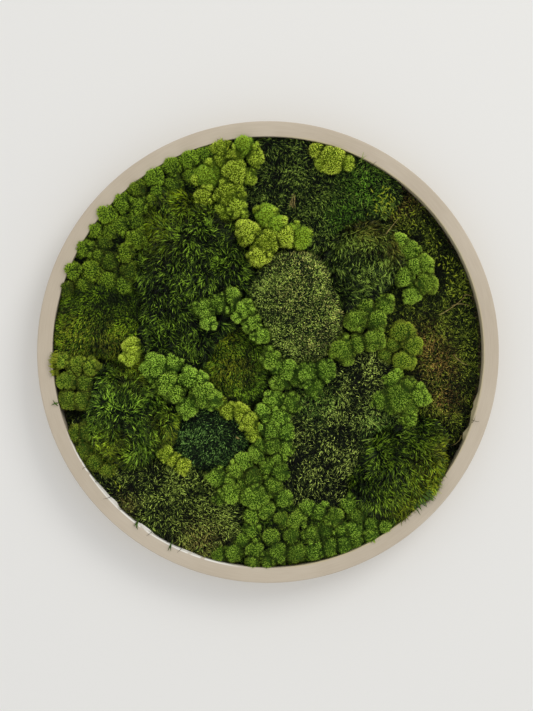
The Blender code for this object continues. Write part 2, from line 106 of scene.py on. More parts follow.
class Value:
    """An output of a shader node, used in sums like a number."""

    def __init__(self, shader, output):
        self.shader = shader
        self.output = output

    def maths(self, operation, *others):
        """This value worked out with others."""
        return self.shader.node("ShaderNodeMath", {"operation": operation}, dict(enumerate((self, *others))))

    def __add__(self, other):
        return self.maths("ADD", other)

    def __sub__(self, other):
        return self.maths("SUBTRACT", other)

    def __rsub__(self, other):
        return (self * -1) + other

    def __mul__(self, other):
        return self.maths("MULTIPLY", other)

    def __pow__(self, other):
        return self.maths("POWER", other)

    __radd__ = __add__
    __rmul__ = __mul__

    def between(self, low, high):
        """0 at or under low, 1 at or over high, and smooth between."""
        inputs = {"Value": self, "From Min": low, "From Max": high}
        return self.shader.node("ShaderNodeMapRange", {"interpolation_type": "SMOOTHSTEP"}, inputs)


class Shader:
    """A material, and its nodes as they are added."""

    def __init__(self, name, roughness, metallic=0.0, specular=0.5):
        self.material = bpy.data.materials.new(name)
        self.material.use_nodes = True
        self.tree = self.material.node_tree
        self.surface = self.tree.nodes["Principled BSDF"]
        self.surface.inputs["Roughness"].default_value = roughness
        self.surface.inputs["Metallic"].default_value = metallic
        self.surface.inputs["Specular IOR Level"].default_value = specular

    def join(self, target, value):
        """Links a value to an input, or sets the input to it."""
        if isinstance(value, Value):
            self.tree.links.new(value.output, target)
        elif isinstance(value, tuple) and len(value) == 3 and len(target.default_value) == 4:
            target.default_value = (*value, 1.0)
        else:
            target.default_value = value

    def node(self, kind, settings, inputs, output=0):
        """Adds a node: its settings first, then its inputs. Returns one of its outputs."""
        made = self.tree.nodes.new(kind)
        for name, value in settings.items():
            setattr(made, name, value)
        for name, value in inputs.items():
            self.join(made.inputs[name], value)
        return Value(self, made.outputs[output])

    def place(self):
        """The point being shaded, in metres."""
        return self.node("ShaderNodeTexCoord", {}, {}, "Object")

    def noise(self, vector, scale, detail=2.0):
        """Noise from 0 to 1."""
        return self.node("ShaderNodeTexNoise", {}, {"Vector": vector, "Scale": scale, "Detail": detail})

    def mix(self, share, first, second, blend="MIX"):
        """A colour between two, or one blended with the other."""
        settings = {"data_type": "RGBA", "blend_type": blend}
        return self.node("ShaderNodeMix", settings, {0: share, 6: first, 7: second}, 2)

    def paint(self, **inputs):
        """Sets inputs of the surface, named with underscores for spaces."""
        for name, value in inputs.items():
            self.join(self.surface.inputs[name.replace("_", " ")], value)

    def bump(self, height, strength, distance):
        """Small relief of the surface."""
        inputs = {"Height": height, "Strength": strength, "Distance": distance}
        self.paint(Normal=self.node("ShaderNodeBump", {}, inputs))


def stage_plane(name, corners, colour):
    """A flat backdrop that only shows from its front, and keeps no light from the object."""
    mesh = bpy.data.meshes.new(name)
    mesh.from_pydata(corners, [], [(0, 1, 2, 3)])
    item = put_in_scene(name, mesh)
    item.visible_diffuse = False
    item.visible_glossy = False
    item.visible_shadow = False
    shader = Shader(name, 0.9)
    shader.paint(Base_Color=colour)
    behind = shader.node("ShaderNodeNewGeometry", {}, {}, "Backfacing")
    shader.paint(Alpha=1 - behind)
    mesh.materials.append(shader.material)


STAGE_REACH = 4.0
FLOOR = -1.2
WALL_WHITE = srgb(238, 237, 233)
stage_plane(
    "wall",
    [
        (-STAGE_REACH, 0, FLOOR),
        (STAGE_REACH, 0, FLOOR),
        (STAGE_REACH, 0, STAGE_REACH),
        (-STAGE_REACH, 0, STAGE_REACH),
    ],
    WALL_WHITE,
)
stage_plane(
    "floor",
    [
        (-STAGE_REACH, -STAGE_REACH, FLOOR),
        (STAGE_REACH, -STAGE_REACH, FLOOR),
        (STAGE_REACH, STAGE_REACH, FLOOR),
        (-STAGE_REACH, STAGE_REACH, FLOOR),
    ],
    WALL_WHITE,
)


# Ring
# Turned wood with a flat face, painted matte taupe with a brush that went round it. Its inner
# edge isn't quite even, and scallops of filler stand out of the inner wall at the lower left and
# right. The paint stops short there: primer shows in chips at the lower left, which also serve as
# a painted highlight where that side of the edge faces the light, and raw wood at the right.
RING_OUTER = 300 * MM
RING_INNER = 280 * MM
RING_REBATE = 287.8 * MM
REBATE_DEPTH = 9.3 * MM
OUTER_ROUNDING = 2.0 * MM
INNER_ROUNDING = 1.0 * MM
RING_STEPS = 288
EDGE_WAVE = 0.55 * MM
LONG_WAVES = 9
SHORT_WAVES = 30
FILLER_DEPTH = 1.6 * MM
FILLER_EDGE = 3.0 * MM
FILLER_FOOT = 9 * MM
# Each scallop has its middle and half its width in degrees, and how far it stands out.
FILLER = [
    (-15.0, 6.0, 4.2 * MM), (-22.6, 2.4, 5.0 * MM), (-139.0, 6.0, 2.0 * MM), (-135.5, 2.0, 3.4 * MM),
    (-125.0, 3.5, 3.2 * MM), (-112.0, 5.0, 1.6 * MM),
]


def rounded(radius_at, depth_at, rounding, first, last, points):
    """Radius and Y along a rounded corner, from one angle to another."""
    angles = np.radians(np.linspace(first, last, points))
    return [(radius_at + rounding * math.cos(a), depth_at - rounding * math.sin(a)) for a in angles]


def filler(turn):
    """How far the filler stands out of the inner wall, at a turn about Y."""
    degrees = (math.degrees(turn) + 180) % 360 - 180
    ragged = 1 + 0.3 * noise.noise(Vector((degrees * 0.9, 0.0, 4.0)))
    return max(
        high * ragged * max(0.0, 1 - ((degrees - middle) / half) ** 2) for middle, half, high in FILLER
    )


def ring_mesh():
    """The turned ring, with slight waves in its inner edge."""
    outer = rounded(RING_OUTER - OUTER_ROUNDING, FRONT + OUTER_ROUNDING, OUTER_ROUNDING, 0, 90, 6)
    inner = rounded(RING_INNER + INNER_ROUNDING, FRONT + INNER_ROUNDING, INNER_ROUNDING, 90, 180, 5)
    wall = [(RING_INNER, FRONT + FILLER_DEPTH + depth) for depth in (0.0, FILLER_EDGE, FILLER_FOOT)]
    rebate = [(RING_INNER, -REBATE_DEPTH), (RING_REBATE, -REBATE_DEPTH), (RING_REBATE, 0.0)]
    profile = outer + inner + wall + rebate + [(RING_OUTER, 0.0)]
    wall_start = len(outer) + len(inner)
    points = []
    for step in range(RING_STEPS):
        turn = 2 * math.pi * step / RING_STEPS
        across, up = math.cos(turn), math.sin(turn)
        wave = noise.noise(Vector((across * LONG_WAVES, up * LONG_WAVES, 0.0)))
        wave += 0.5 * noise.noise(Vector((across * SHORT_WAVES, up * SHORT_WAVES, 5.0)))
        for index, (radius, y) in enumerate(profile):
            if len(outer) <= index < wall_start:
                radius += max(0.0, wave) * EDGE_WAVE
            if index == wall_start + 1:
                radius -= filler(turn)
            points.append((radius * across, y, radius * up))
    count = len(profile)
    faces = []
    for step in range(RING_STEPS):
        near, far = step * count, (step + 1) % RING_STEPS * count
        for index in range(count):
            following = (index + 1) % count
            faces.append((near + index, near + following, far + following, far + index))
    mesh = bpy.data.meshes.new("painted_ring")
    mesh.from_pydata(points, [], faces)
    mesh.shade_smooth()
    mesh.set_sharp_from_angle(angle=math.radians(40))
    return mesh


TAUPE = srgb(200, 187, 166)
TAUPE_DARK = srgb(188, 174, 152)
PRIMER_AND_HIGHLIGHT = srgb(236, 232, 222)
RAW_WOOD = srgb(196, 182, 140)
DARKER_FILLER = srgb(146, 136, 100)
STREAKS_ACROSS = 900
STREAKS_ROUND = 9
BRUSH_RELIEF = 0.3 * MM

coat = Shader("taupe_paint", 0.55)
place = coat.place()
across = coat.node("ShaderNodeSeparateXYZ", {}, {"Vector": place}, "X")
upright = coat.node("ShaderNodeSeparateXYZ", {}, {"Vector": place}, "Z")
radius = (across * across + upright * upright) ** 0.5
turn = upright.maths("ARCTAN2", across)
streaks = coat.node("ShaderNodeCombineXYZ", {}, {"X": radius * STREAKS_ACROSS, "Y": turn * STREAKS_ROUND})
brushed = coat.noise(streaks, 1.0, 3.0)
cloudy = coat.noise(place, 9.0, 3.0)
tone = coat.mix(brushed.between(0.3, 0.7) * 0.45 + cloudy.between(0.35, 0.65) * 0.5, TAUPE, TAUPE_DARK)
inner_edge = 1 - radius.between(RING_INNER + 1.2 * MM, RING_INNER + 2.4 * MM)
proud_of_wall = 1 - radius.between(RING_INNER - 1.0 * MM, RING_INNER + 0.2 * MM)
lower_left = (across * -0.6 - upright * 0.8).between(235 * MM, 262 * MM)
right_half = across.between(0.0, 50 * MM)
chips = coat.noise(place, 90.0, 3.0).between(0.3, 0.42)
# Pale primer chips at the lower left of the inner edge: partly the primer, partly a painted highlight where
# that side faces the light.
tone = coat.mix(inner_edge * lower_left * chips, tone, PRIMER_AND_HIGHLIGHT)
tone = coat.mix(inner_edge * right_half * 0.6, tone, RAW_WOOD)
# The filler that stands out of the inner wall on the right half is painted darker than the face.
tone = coat.mix(proud_of_wall * right_half, tone, DARKER_FILLER)
coat.paint(Base_Color=tone, Roughness=0.5 + brushed * 0.15)
coat.bump(brushed + coat.noise(place, 420.0, 2.0) * 0.4, 0.25, BRUSH_RELIEF)
ring = put_in_scene("painted_ring", ring_mesh())
ring.data.materials.append(coat.material)
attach(ring, "root")
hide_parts("frame_ring")


# Board and hanger
# Pressed fibreboard set in the ring's rebate, and a zinc-plated sawtooth strip nailed into a
# shallow recess in it. None of this shows from the front.
FIBRE_DARK = srgb(146, 118, 86)
FIBRE_LIGHT = srgb(188, 160, 122)
FIBRE_STAIN = srgb(138, 112, 82)
FIBRE_RELIEF = 0.3 * MM
ZINC_DARK = srgb(176, 178, 182)
ZINC_LIGHT = srgb(206, 208, 212)


def use_material(node, shader):
    """Gives a CAD node its finish."""
    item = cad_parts[node]
    item.data.materials.clear()
    item.data.materials.append(shader.material)


board = Shader("fibreboard", 0.85)
speckle = board.noise(board.place(), 520.0, 6.0)
cloud = board.noise(board.place(), 14.0, 5.0)
fibres = board.mix(speckle.between(0.4, 0.6), FIBRE_DARK, FIBRE_LIGHT)
board.paint(Base_Color=board.mix(cloud.between(0.3, 0.7) * 0.35, fibres, FIBRE_STAIN))
board.bump(speckle, 0.3, FIBRE_RELIEF)
use_material("backing_board", board)

zinc = Shader("zinc_steel", 0.35, 1.0)
grain = zinc.noise(zinc.place(), 900.0, 2.0)
zinc.paint(Base_Color=zinc.mix(grain, ZINC_DARK, ZINC_LIGHT), Roughness=0.28 + grain * 0.2)
for node in ("hanger_plate", "hanger_nail_left", "hanger_nail_right"):
    use_material(node, zinc)


# Flat moss bed
# Thin sheets of flattened moss, glued edge to edge over the whole board before the clumps
# go on. They show as dark hollows between these.
REACH_INSIDE = 279.5 * MM
REACH_OVER = 296.0 * MM
FACE_SLACK = 0.6 * MM
BOARD_TOP = 9.6 * MM
SEED = 7
random = np.random.default_rng(SEED)


def mesh_arrays(mesh):
    """Points and triangles of a mesh."""
    mesh.calc_loop_triangles()
    points = np.empty(len(mesh.vertices) * 3)
    mesh.vertices.foreach_get("co", points)
    triangles = np.empty(len(mesh.loop_triangles) * 3, dtype=np.int64)
    mesh.loop_triangles.foreach_get("vertices", triangles)
    return points.reshape(-1, 3), triangles.reshape(-1, 3)


TINY = 1e-9


def unit(vectors):
    """Vectors scaled to length 1."""
    return vectors / np.maximum(np.linalg.norm(vectors, axis=1), TINY)[:, None]


def facing(points, triangles):
    """The way each point of a closed form faces. It comes out the same in every run."""
    a, b, c = (points[triangles[:, k]] for k in range(3))
    around = np.cross(b - a, c - a)
    corners = triangles.ravel()
    sums = [np.bincount(corners, np.repeat(around[:, axis], 3), len(points)) for axis in range(3)]
    return unit(np.stack(sums, axis=1))


def patchy(points, size, shift=0.0):
    """A smooth random number at each point, about -0.5 to 0.5."""
    offset = Vector((shift, -shift, shift * 2))
    return np.array([noise.noise(Vector(point) / size + offset) for point in points])


AXIS_SHIFTS = (9.3, 0.0, 17.9)


def swirl(points, size, shift=0.0):
    """A smooth random vector at each point, which changes over about this length."""
    return np.stack([patchy(points, size, shift + step) for step in AXIS_SHIFTS], axis=1)


SEEN_PITCH = 2.5 * MM
SEEN_COUNT = 250
IN_FRONT = 300 * MM
LEVEL_REACH = 7
LEVEL_HEIGHT = 16 * MM


def front_heights():
    """Y of the foremost solid over a grid of X and Z, from the moss and lichen nodes."""
    points, faces = [], []
    for name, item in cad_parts.items():
        if "moss" in name or "lichen" in name:
            start = len(points)
            own, triangles = mesh_arrays(item.data)
            points.extend(own.tolist())
            faces.extend((triangles + start).tolist())
    tree = BVHTree.FromPolygons(points, faces)
    heights = np.full((SEEN_COUNT, SEEN_COUNT), FRONT)
    for i in range(SEEN_COUNT):
        for j in range(SEEN_COUNT):
            x = (i - SEEN_COUNT / 2) * SEEN_PITCH
            z = (j - SEEN_COUNT / 2) * SEEN_PITCH
            hit = tree.ray_cast(Vector((x, -IN_FRONT, z)), Vector((0, 1, 0)))[0]
            if hit is not None:
                heights[i, j] = hit.y
    return heights


def shifted(grid, reach):
    """Copies of a grid moved by up to this many cells each way, stacked."""
    moves = range(-reach, reach + 1)
    return np.stack([np.roll(grid, (i, j), axis=(0, 1)) for i in moves for j in moves])


seen = front_heights()
seen_beyond = shifted(seen, 1).max(axis=0)
level = shifted(seen, LEVEL_REACH).mean(axis=0)


def cell_of(points):
    """The cells of the grid that points lie in."""
    i = np.clip(np.rint(points[:, 0] / SEEN_PITCH + SEEN_COUNT / 2).astype(int), 0, SEEN_COUNT - 1)
    j = np.clip(np.rint(points[:, 2] / SEEN_PITCH + SEEN_COUNT / 2).astype(int), 0, SEEN_COUNT - 1)
    return i, j


def exposed(points, slack):
    """True for points that no other solid covers by more than this, seen from the front."""
    return points[:, 1] < seen_beyond[cell_of(points)] + slack


def proud(points):
    """How far points stand out of what is round them: 0.5 well proud, -0.5 deep in a hollow."""
    return np.clip((level[cell_of(points)] - points[:, 1]) / LEVEL_HEIGHT, -0.5, 0.5)


SMOOTHING = 0.5
SMOOTHING_ROUNDS = 8


def soft_form(node, grain, inset):
    """Points, triangles and normals of a node's form, rounded and drawn in by the inset."""
    item = put_in_scene("form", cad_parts[node].data.copy())
    remesh = item.modifiers.new("grain", "REMESH")
    remesh.mode = "VOXEL"
    remesh.voxel_size = grain
    soften = item.modifiers.new("soften", "SMOOTH")
    soften.factor = SMOOTHING
    soften.iterations = SMOOTHING_ROUNDS
    graph = bpy.context.evaluated_depsgraph_get()
    graph.update()
    points, triangles = mesh_arrays(bpy.data.meshes.new_from_object(item.evaluated_get(graph)))
    bpy.data.objects.remove(item)
    points = points - facing(points, triangles) * inset
    return points, triangles, facing(points, triangles)


DRAWN_FOR_EACH = 5
CELL_FILL = 1.25
TURNED_AWAY = 0.25


def scatter(form, count, slack):
    """Points and normals, about this many and evenly apart, on the seen part of a form."""
    points, triangles, normals = form
    a, b, c = (points[triangles[:, k]] for k in range(3))
    areas = np.linalg.norm(np.cross(b - a, c - a), axis=1) / 2
    middle = (a + b + c) / 3
    areas = areas * exposed(middle, slack) * (normals[triangles].mean(axis=1)[:, 1] < TURNED_AWAY)
    drawn = count * DRAWN_FOR_EACH
    chosen = random.choice(len(triangles), drawn, p=areas / areas.sum())
    first = np.sqrt(random.random(drawn))
    second = random.random(drawn)
    shares = np.stack([1 - first, first * (1 - second), first * second], axis=1)
    corners = triangles[chosen]
    spots = np.einsum("nk,nkd->nd", shares, points[corners])
    normals = unit(np.einsum("nk,nkd->nd", shares, normals[corners]))
    cells = np.floor(spots / math.sqrt(areas.sum() / count * CELL_FILL)).astype(int)
    _, kept = np.unique(cells, axis=0, return_index=True)
    kept = random.permutation(kept)[:count]
    return spots[kept], normals[kept]


MAP_SHARE = 0.2
MAP_MARGIN = 0.12
CORE_TONE = 0.5


class Growth:
    """The mesh of one clump: its inner form, whose dark colour is partly painted shade, and the shoots that
    stand on it.
    """

    def __init__(self):
        self.points, self.triangles, self.facts, self.maps = [], [], [], []
        self.count = 0
        self.shoots = []

    def add(self, points, triangles, facts, maps):
        """Adds points, triangles, the facts that colour them, and places on the map."""
        self.points.append(points)
        self.triangles.append(triangles + self.count)
        self.facts.append(facts)
        self.maps.append(maps)
        self.count += len(points)

    def add_form(self, form):
        """Adds the inner form. It is mapped from the front, in the upper strip."""
        points, triangles, _ = form
        facts = np.zeros((len(points), 3))
        facts[:, 1] = CORE_TONE
        low, high = points.min(axis=0), points.max(axis=0)
        across = (points[:, 0] - low[0]) / (high[0] - low[0])
        up = (points[:, 2] - low[2]) / (high[2] - low[2])
        maps = np.stack([across, 1 - MAP_SHARE + MAP_SHARE * up], axis=1)
        self.add(points, triangles, facts, maps)

    def add_shoots(self, points, pattern, along, tones, accents, outline):
        """Adds many like shoots: their points, and the triangles and map of one of them."""
        self.shoots.append((points, pattern, along, tones, accents, outline))

    def place_shoots(self):
        """Gives each shoot its own cell of the map, and adds all of them."""
        total = sum(len(shoot[0]) for shoot in self.shoots)
        side = math.ceil(math.sqrt(max(total, 1)))
        start = 0
        for points, pattern, along, tones, accents, outline in self.shoots:
            count, corners = points.shape[:2]
            triangles = (pattern[None] + np.arange(count)[:, None, None] * corners).reshape(-1, 3)
            facts = np.stack(
                [
                    np.broadcast_to(along, (count, corners)),
                    np.broadcast_to(tones[:, None], (count, corners)),
                    np.broadcast_to(accents[:, None], (count, corners)),
                ],
                axis=2,
            )
            cell = np.arange(start, start + count)
            corner = np.stack([cell % side, cell // side], axis=1)[:, None]
            maps = (corner + MAP_MARGIN + outline[None] * (1 - 2 * MAP_MARGIN)) / side
            maps[..., 1] *= 1 - MAP_SHARE
            self.add(points.reshape(-1, 3), triangles, facts.reshape(-1, 3), maps.reshape(-1, 2))
            start += count

    def finish(self, name, shader, nodes, slot):
        """Makes the object, which stands for these nodes."""
        self.place_shoots()
        points = kept_in(np.concatenate(self.points))
        triangles = np.concatenate(self.triangles)
        mesh = bpy.data.meshes.new(name)
        mesh.vertices.add(len(points))
        mesh.vertices.foreach_set("co", points.ravel())
        mesh.loops.add(triangles.size)
        mesh.loops.foreach_set("vertex_index", triangles.ravel())
        mesh.polygons.add(len(triangles))
        mesh.polygons.foreach_set("loop_start", np.arange(0, triangles.size, 3))
        mesh.update(calc_edges=True)
        mesh.shade_smooth()
        facts = mesh.attributes.new("growth", "FLOAT_VECTOR", "POINT")
        facts.data.foreach_set("vector", np.concatenate(self.facts).ravel())
        chart = mesh.uv_layers.new(name="OFBake")
        chart.data.foreach_set("uv", np.concatenate(self.maps)[triangles.ravel()].ravel())
        item = put_in_scene(name, mesh)
        mesh.materials.append(shader.material)
        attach(item, "root")
        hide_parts(*nodes)


def kept_in(points):
    """Points drawn in to the room inside the ring, or over its face where they stand proud."""
    radial = np.hypot(points[:, 0], points[:, 2])
    limit = np.where(points[:, 1] > FRONT - FACE_SLACK, REACH_INSIDE, REACH_OVER)
    share = np.minimum(1.0, limit / np.maximum(radial, TINY))
    points[:, 0] *= share
    points[:, 2] *= share
    points[:, 1] = np.minimum(points[:, 1], -BOARD_TOP)
    return points


LEAF_STEPS = 2


def leaf_points(roots, starts, ends, sides, lengths, widths):
    """Flat leaves that bend from one direction to another and taper to a point."""
    points = []
    for index in range(LEAF_STEPS):
        step = index / LEAF_STEPS
        middle = roots + lengths[:, None] * (starts * (step - step**2 / 2) + ends * step**2 / 2)
        half = sides * (widths * (1 - step**2.2) * (0.6 + 0.4 * min(1, step * 3)) / 2)[:, None]
        points += [middle - half, middle + half]
    points.append(roots + lengths[:, None] * (starts + ends) / 2)
    return np.stack(points, axis=1)


def add_leaves(growth, tufts):
    """Adds flat leaves to a clump."""
    sides = unit(np.cross(tufts.starts + tufts.ends, random.normal(size=tufts.roots.shape)))
    starts, ends = unit(tufts.starts), unit(tufts.ends)
    points = leaf_points(tufts.roots, starts, ends, sides, tufts.lengths, tufts.widths)
    pattern = []
    for low in range(0, 2 * LEAF_STEPS - 2, 2):
        pattern += [(low, low + 1, low + 3), (low, low + 3, low + 2)]
    last = 2 * LEAF_STEPS - 2
    pattern.append((last, last + 1, last + 2))
    along = np.repeat(np.arange(LEAF_STEPS + 1) / LEAF_STEPS, 2)[: 2 * LEAF_STEPS + 1]
    edge = np.array([0.0, 1.0] * LEAF_STEPS + [0.5])
    outline = np.stack([edge, along], axis=1)
    growth.add_shoots(points, np.array(pattern), along, tufts.tones, tufts.accents, outline)


def add_spikes(growth, tufts):
    """Adds pointed three-sided shoots to a clump."""
    directions = unit(tufts.starts + tufts.ends)
    first = unit(np.cross(directions, random.normal(size=directions.shape)))
    second = np.cross(directions, first)
    points = []
    for corner in range(3):
        angle = math.radians(120 * corner)
        side = first * math.cos(angle) + second * math.sin(angle)
        points.append(tufts.roots + side * (tufts.widths / 2)[:, None])
    points.append(tufts.roots + directions * tufts.lengths[:, None])
    pattern = np.array([(0, 1, 3), (1, 2, 3), (2, 0, 3)])
    along = np.array([0.0, 0.0, 0.0, 1.0])
    outline = np.array([(0.0, 0.0), (0.5, 0.0), (1.0, 0.0), (0.5, 1.0)])
    growth.add_shoots(np.stack(points, axis=1), pattern, along, tufts.tones, tufts.accents, outline)


MOTTLE_SCALE = 55.0


def plant_shader(name, deep, leaf, tip, accent, variety, roughness=0.62):
    """Plant tissue, dark at the root and light at the tip: partly the tissue's own colour, partly
    painted shade deep in the clump. Shoots differ in tone, and patches of them take the accent
    colour. Colours are given on the 0 to 255 scale."""
    deep, leaf, tip, accent = (srgb(*colour) for colour in (deep, leaf, tip, accent))
    shader = Shader(name, roughness, specular=0.3)
    facts = shader.node("ShaderNodeAttribute", {"attribute_name": "growth"}, {}, "Vector")
    along = shader.node("ShaderNodeSeparateXYZ", {}, {"Vector": facts}, "X")
    tone = shader.node("ShaderNodeSeparateXYZ", {}, {"Vector": facts}, "Y")
    patch = shader.node("ShaderNodeSeparateXYZ", {}, {"Vector": facts}, "Z")
    # Dark at the root: partly the tissue's colour, partly painted shade deep in the clump.
    colour = shader.mix(along.between(0.0, 0.4) * tone.between(-0.1, 0.5), deep, leaf)
    colour = shader.mix(along.between(0.2, 0.75) * tone.between(0.3, 0.9), colour, tip)
    colour = shader.mix(patch * along.between(0.1, 0.6), colour, accent)
    mottle = shader.noise(shader.place(), MOTTLE_SCALE, 3.0)
    light = (1 - variety / 2) + tone * variety
    grey = light * (0.8 + mottle * 0.4)
    shade = shader.node("ShaderNodeCombineXYZ", {}, {"X": grey, "Y": grey, "Z": grey})
    colour = shader.mix(1.0, colour, shade, "MULTIPLY")
    shader.paint(Base_Color=colour, Roughness=1 - along * (1 - roughness))
    return shader


def gathered(points, patches):
    """How much each point belongs to round patches, each given as x, z and radius in millimetres."""
    share = np.zeros(len(points))
    for x, z, reach in patches:
        away = np.hypot(points[:, 0] / MM - x, points[:, 2] / MM - z)
        share = np.maximum(share, np.exp(-((away / reach) ** 2)))
    return share


@dataclass
class Mound:
    """How one clump of moss grows. Lengths and places are in millimetres."""

    tufts: int
    leaves: int  # in each tuft
    length: float
    width: float
    crest: tuple  # x and z of the place that the leaves sweep away from
    sweep: float  # how far they lean
    spread: float  # how far the leaves of a tuft part
    flow: tuple  # x and z of a lean that all of them share
    patches: tuple = ()  # x, z and radius of patches of the accent colour
    speckle: float = 0.6  # share of the leaves in a patch that take it
    contrast: float = 0.2  # how much leaves differ in tone
    lying: float = 0.7  # how flat the leaves of a tuft spread


CREST_PULL = 0.45
# Each whorl has its width, a shift that sets it apart, and how strongly it turns the leaves.
WHORLS = [(34 * MM, 1.7, 2.2), (10 * MM, 6.1, 1.3)]


def swept(spots, normals, mound):
    """Directions along a form and away from its crest, turned here and there in whorls."""
    away = np.zeros_like(spots)
    away[:, 0] = spots[:, 0] - mound.crest[0] * MM
    away[:, 2] = spots[:, 2] - mound.crest[1] * MM
    away = unit(away) * CREST_PULL
    for width, shift, strength in WHORLS:
        away += swirl(spots, width, shift) * strength
    away += np.array([mound.flow[0], 0.0, mound.flow[1]])
    away -= normals * np.sum(away * normals, axis=1)[:, None]
    return unit(away) * mound.sweep


MEAN_TONE = 0.4
TUFT_CONTRAST = 0.45
SMALL_PATCHES = 0.3
LOW_TUFTS = 0.3
LOW_SHADE = 0.3
LOW_SIZE = 0.6
ROOT_SPREAD = 0.2
ACCENT_WIDENING = 0.25


class Tufts:
    """The leaves of a clump, drawn by lot: tufts on its form, and leaves round each tuft."""

    def __init__(self, form, mound, slack, patch_size):
        spots, normals = scatter(form, mound.tufts, slack)
        total = len(spots)
        lean = swept(spots, normals, mound)
        low = random.random(total) < LOW_TUFTS
        tuft_tones = random.normal(MEAN_TONE, TUFT_CONTRAST * mound.contrast, total)
        tuft_tones = tuft_tones + patchy(spots, patch_size) * 0.5
        small = patchy(spots, patch_size * SMALL_PATCHES, 3.0)
        # Tufts that stand proud are painted lighter, and tufts in hollows and low tufts darker: painted
        # shade.
        tuft_tones += small * 0.3 + proud(spots) * 0.5 - low * LOW_SHADE
        tuft_sizes = random.uniform(0.75, 1.15, total) * np.where(low, LOW_SIZE, 1.0)
        tuft = np.repeat(np.arange(total), mound.leaves)
        count = len(tuft)
        length = mound.length * MM
        spread = random.normal(size=(count, 3)) * mound.spread
        spread -= normals[tuft] * np.sum(spread * normals[tuft], axis=1)[:, None] * mound.lying
        self.roots = spots[tuft] + spread * length * ROOT_SPREAD
        self.starts = normals[tuft] + lean[tuft] * 0.4 + spread
        self.ends = normals[tuft] * 0.15 + lean[tuft] + spread * 1.3
        self.lengths = length * tuft_sizes[tuft] * random.uniform(0.6, 1.1, count)
        self.widths = mound.width * MM * random.uniform(0.7, 1.15, count)
        self.tones = np.clip(tuft_tones[tuft] + random.normal(0, mound.contrast, count), 0, 1)
        share = gathered(spots, mound.patches)[tuft]
        self.accents = share * (random.random(count) < mound.speckle)
        self.widths *= 1 + ACCENT_WIDENING * self.accents


def grow(node, name, slot, mound, shader, grain, inset, slack, patch_size, add_shoots=add_leaves):
    """Grows a clump of moss on the form of its node, which it then stands for."""
    growth = Growth()
    form = soft_form(node, grain * MM, inset * MM)
    growth.add_form(form)
    add_shoots(growth, Tufts(form, mound, slack * MM, patch_size * MM))
    growth.finish(name, shader, [node], slot)


BED = Mound(
    tufts=1500, leaves=4, length=9.0, width=1.3, crest=(0, 0), sweep=0.5, spread=0.6, flow=(0, 0),
    patches=[(250, -98, 30)], speckle=0.8,
)
BED_SHADER = plant_shader(
    "bed_moss", (24, 32, 8), (62, 78, 20), (128, 146, 48), (140, 130, 60), 0.8
)
grow(
    "flat_moss_bed", "bed_of_flat_moss", "bed_moss", BED, BED_SHADER,
    grain=8, inset=0.6, slack=3, patch_size=20,
)


# Mood moss
# Four shaggy mounds of long-leaved moss, preserved and dyed green. The strands are swept away
# from each mound's crest, lie over one another, and are paler at their tips.

# Each mound's growth, and its name and colours: deep, leaf, tip and accent.
MOOD_MOSS = {
    "upper_left": (
        Mound(
            tufts=2700, leaves=9, length=14, width=1.3, crest=(-90, 130), sweep=0.9, spread=0.36,
            flow=(0.1, -0.4), patches=[(-148, 156, 28), (-112, 204, 28), (-62, 196, 24)], contrast=0.36,
        ),
        ("mood_moss_deep", (8, 18, 3), (43, 73, 6), (145, 182, 50), (148, 172, 14)),
    ),
    "lower_left": (
        Mound(
            tufts=1500, leaves=9, length=13, width=1.35, crest=(-184, -80), sweep=0.9, spread=0.36,
            flow=(0.2, -0.5), patches=[(-122, -104, 26), (-205, -130, 26), (-170, -20, 26)], contrast=0.36,
        ),
        ("mood_moss_mid", (10, 22, 4), (60, 100, 12), (158, 197, 60), (170, 192, 40)),
    ),
    "lower_right": (
        Mound(
            tufts=1600, leaves=9, length=14, width=1.35, crest=(150, -110), sweep=0.95, spread=0.32,
            flow=(0.6, -0.6), patches=[(222, -170, 36), (190, -210, 30), (226, -130, 20)], contrast=0.36,
        ),
        ("mood_moss_fresh", (8, 20, 3), (48, 80, 10), (140, 173, 43), (156, 166, 20)),
    ),
    "upper_right": (
        Mound(
            tufts=1400, leaves=9, length=13, width=1.3, crest=(110, 170), sweep=0.95, spread=0.34,
            flow=(0.3, -0.9), patches=[(130, 165, 24), (165, 140, 20)], contrast=0.36,
        ),
        ("mood_moss_olive", (8, 18, 4), (54, 84, 18), (156, 184, 74), (150, 150, 56)),
    ),
}
MOOD_VARIETY = 1.4
MOOD_ROUGHNESS = 0.4
for name, (mound, look) in MOOD_MOSS.items():
    shader = plant_shader(*look, MOOD_VARIETY, MOOD_ROUGHNESS)
    grow(
        f"mood_moss_{name}", f"strands_{name}", "mood_moss", mound, shader,
        grain=4, inset=4.5, slack=9, patch_size=22,
    )


# Cushion moss
# Four smooth domes of cushion moss. Their tips are short and stand close together, and many
# have dried to cream on the large dome in the middle.

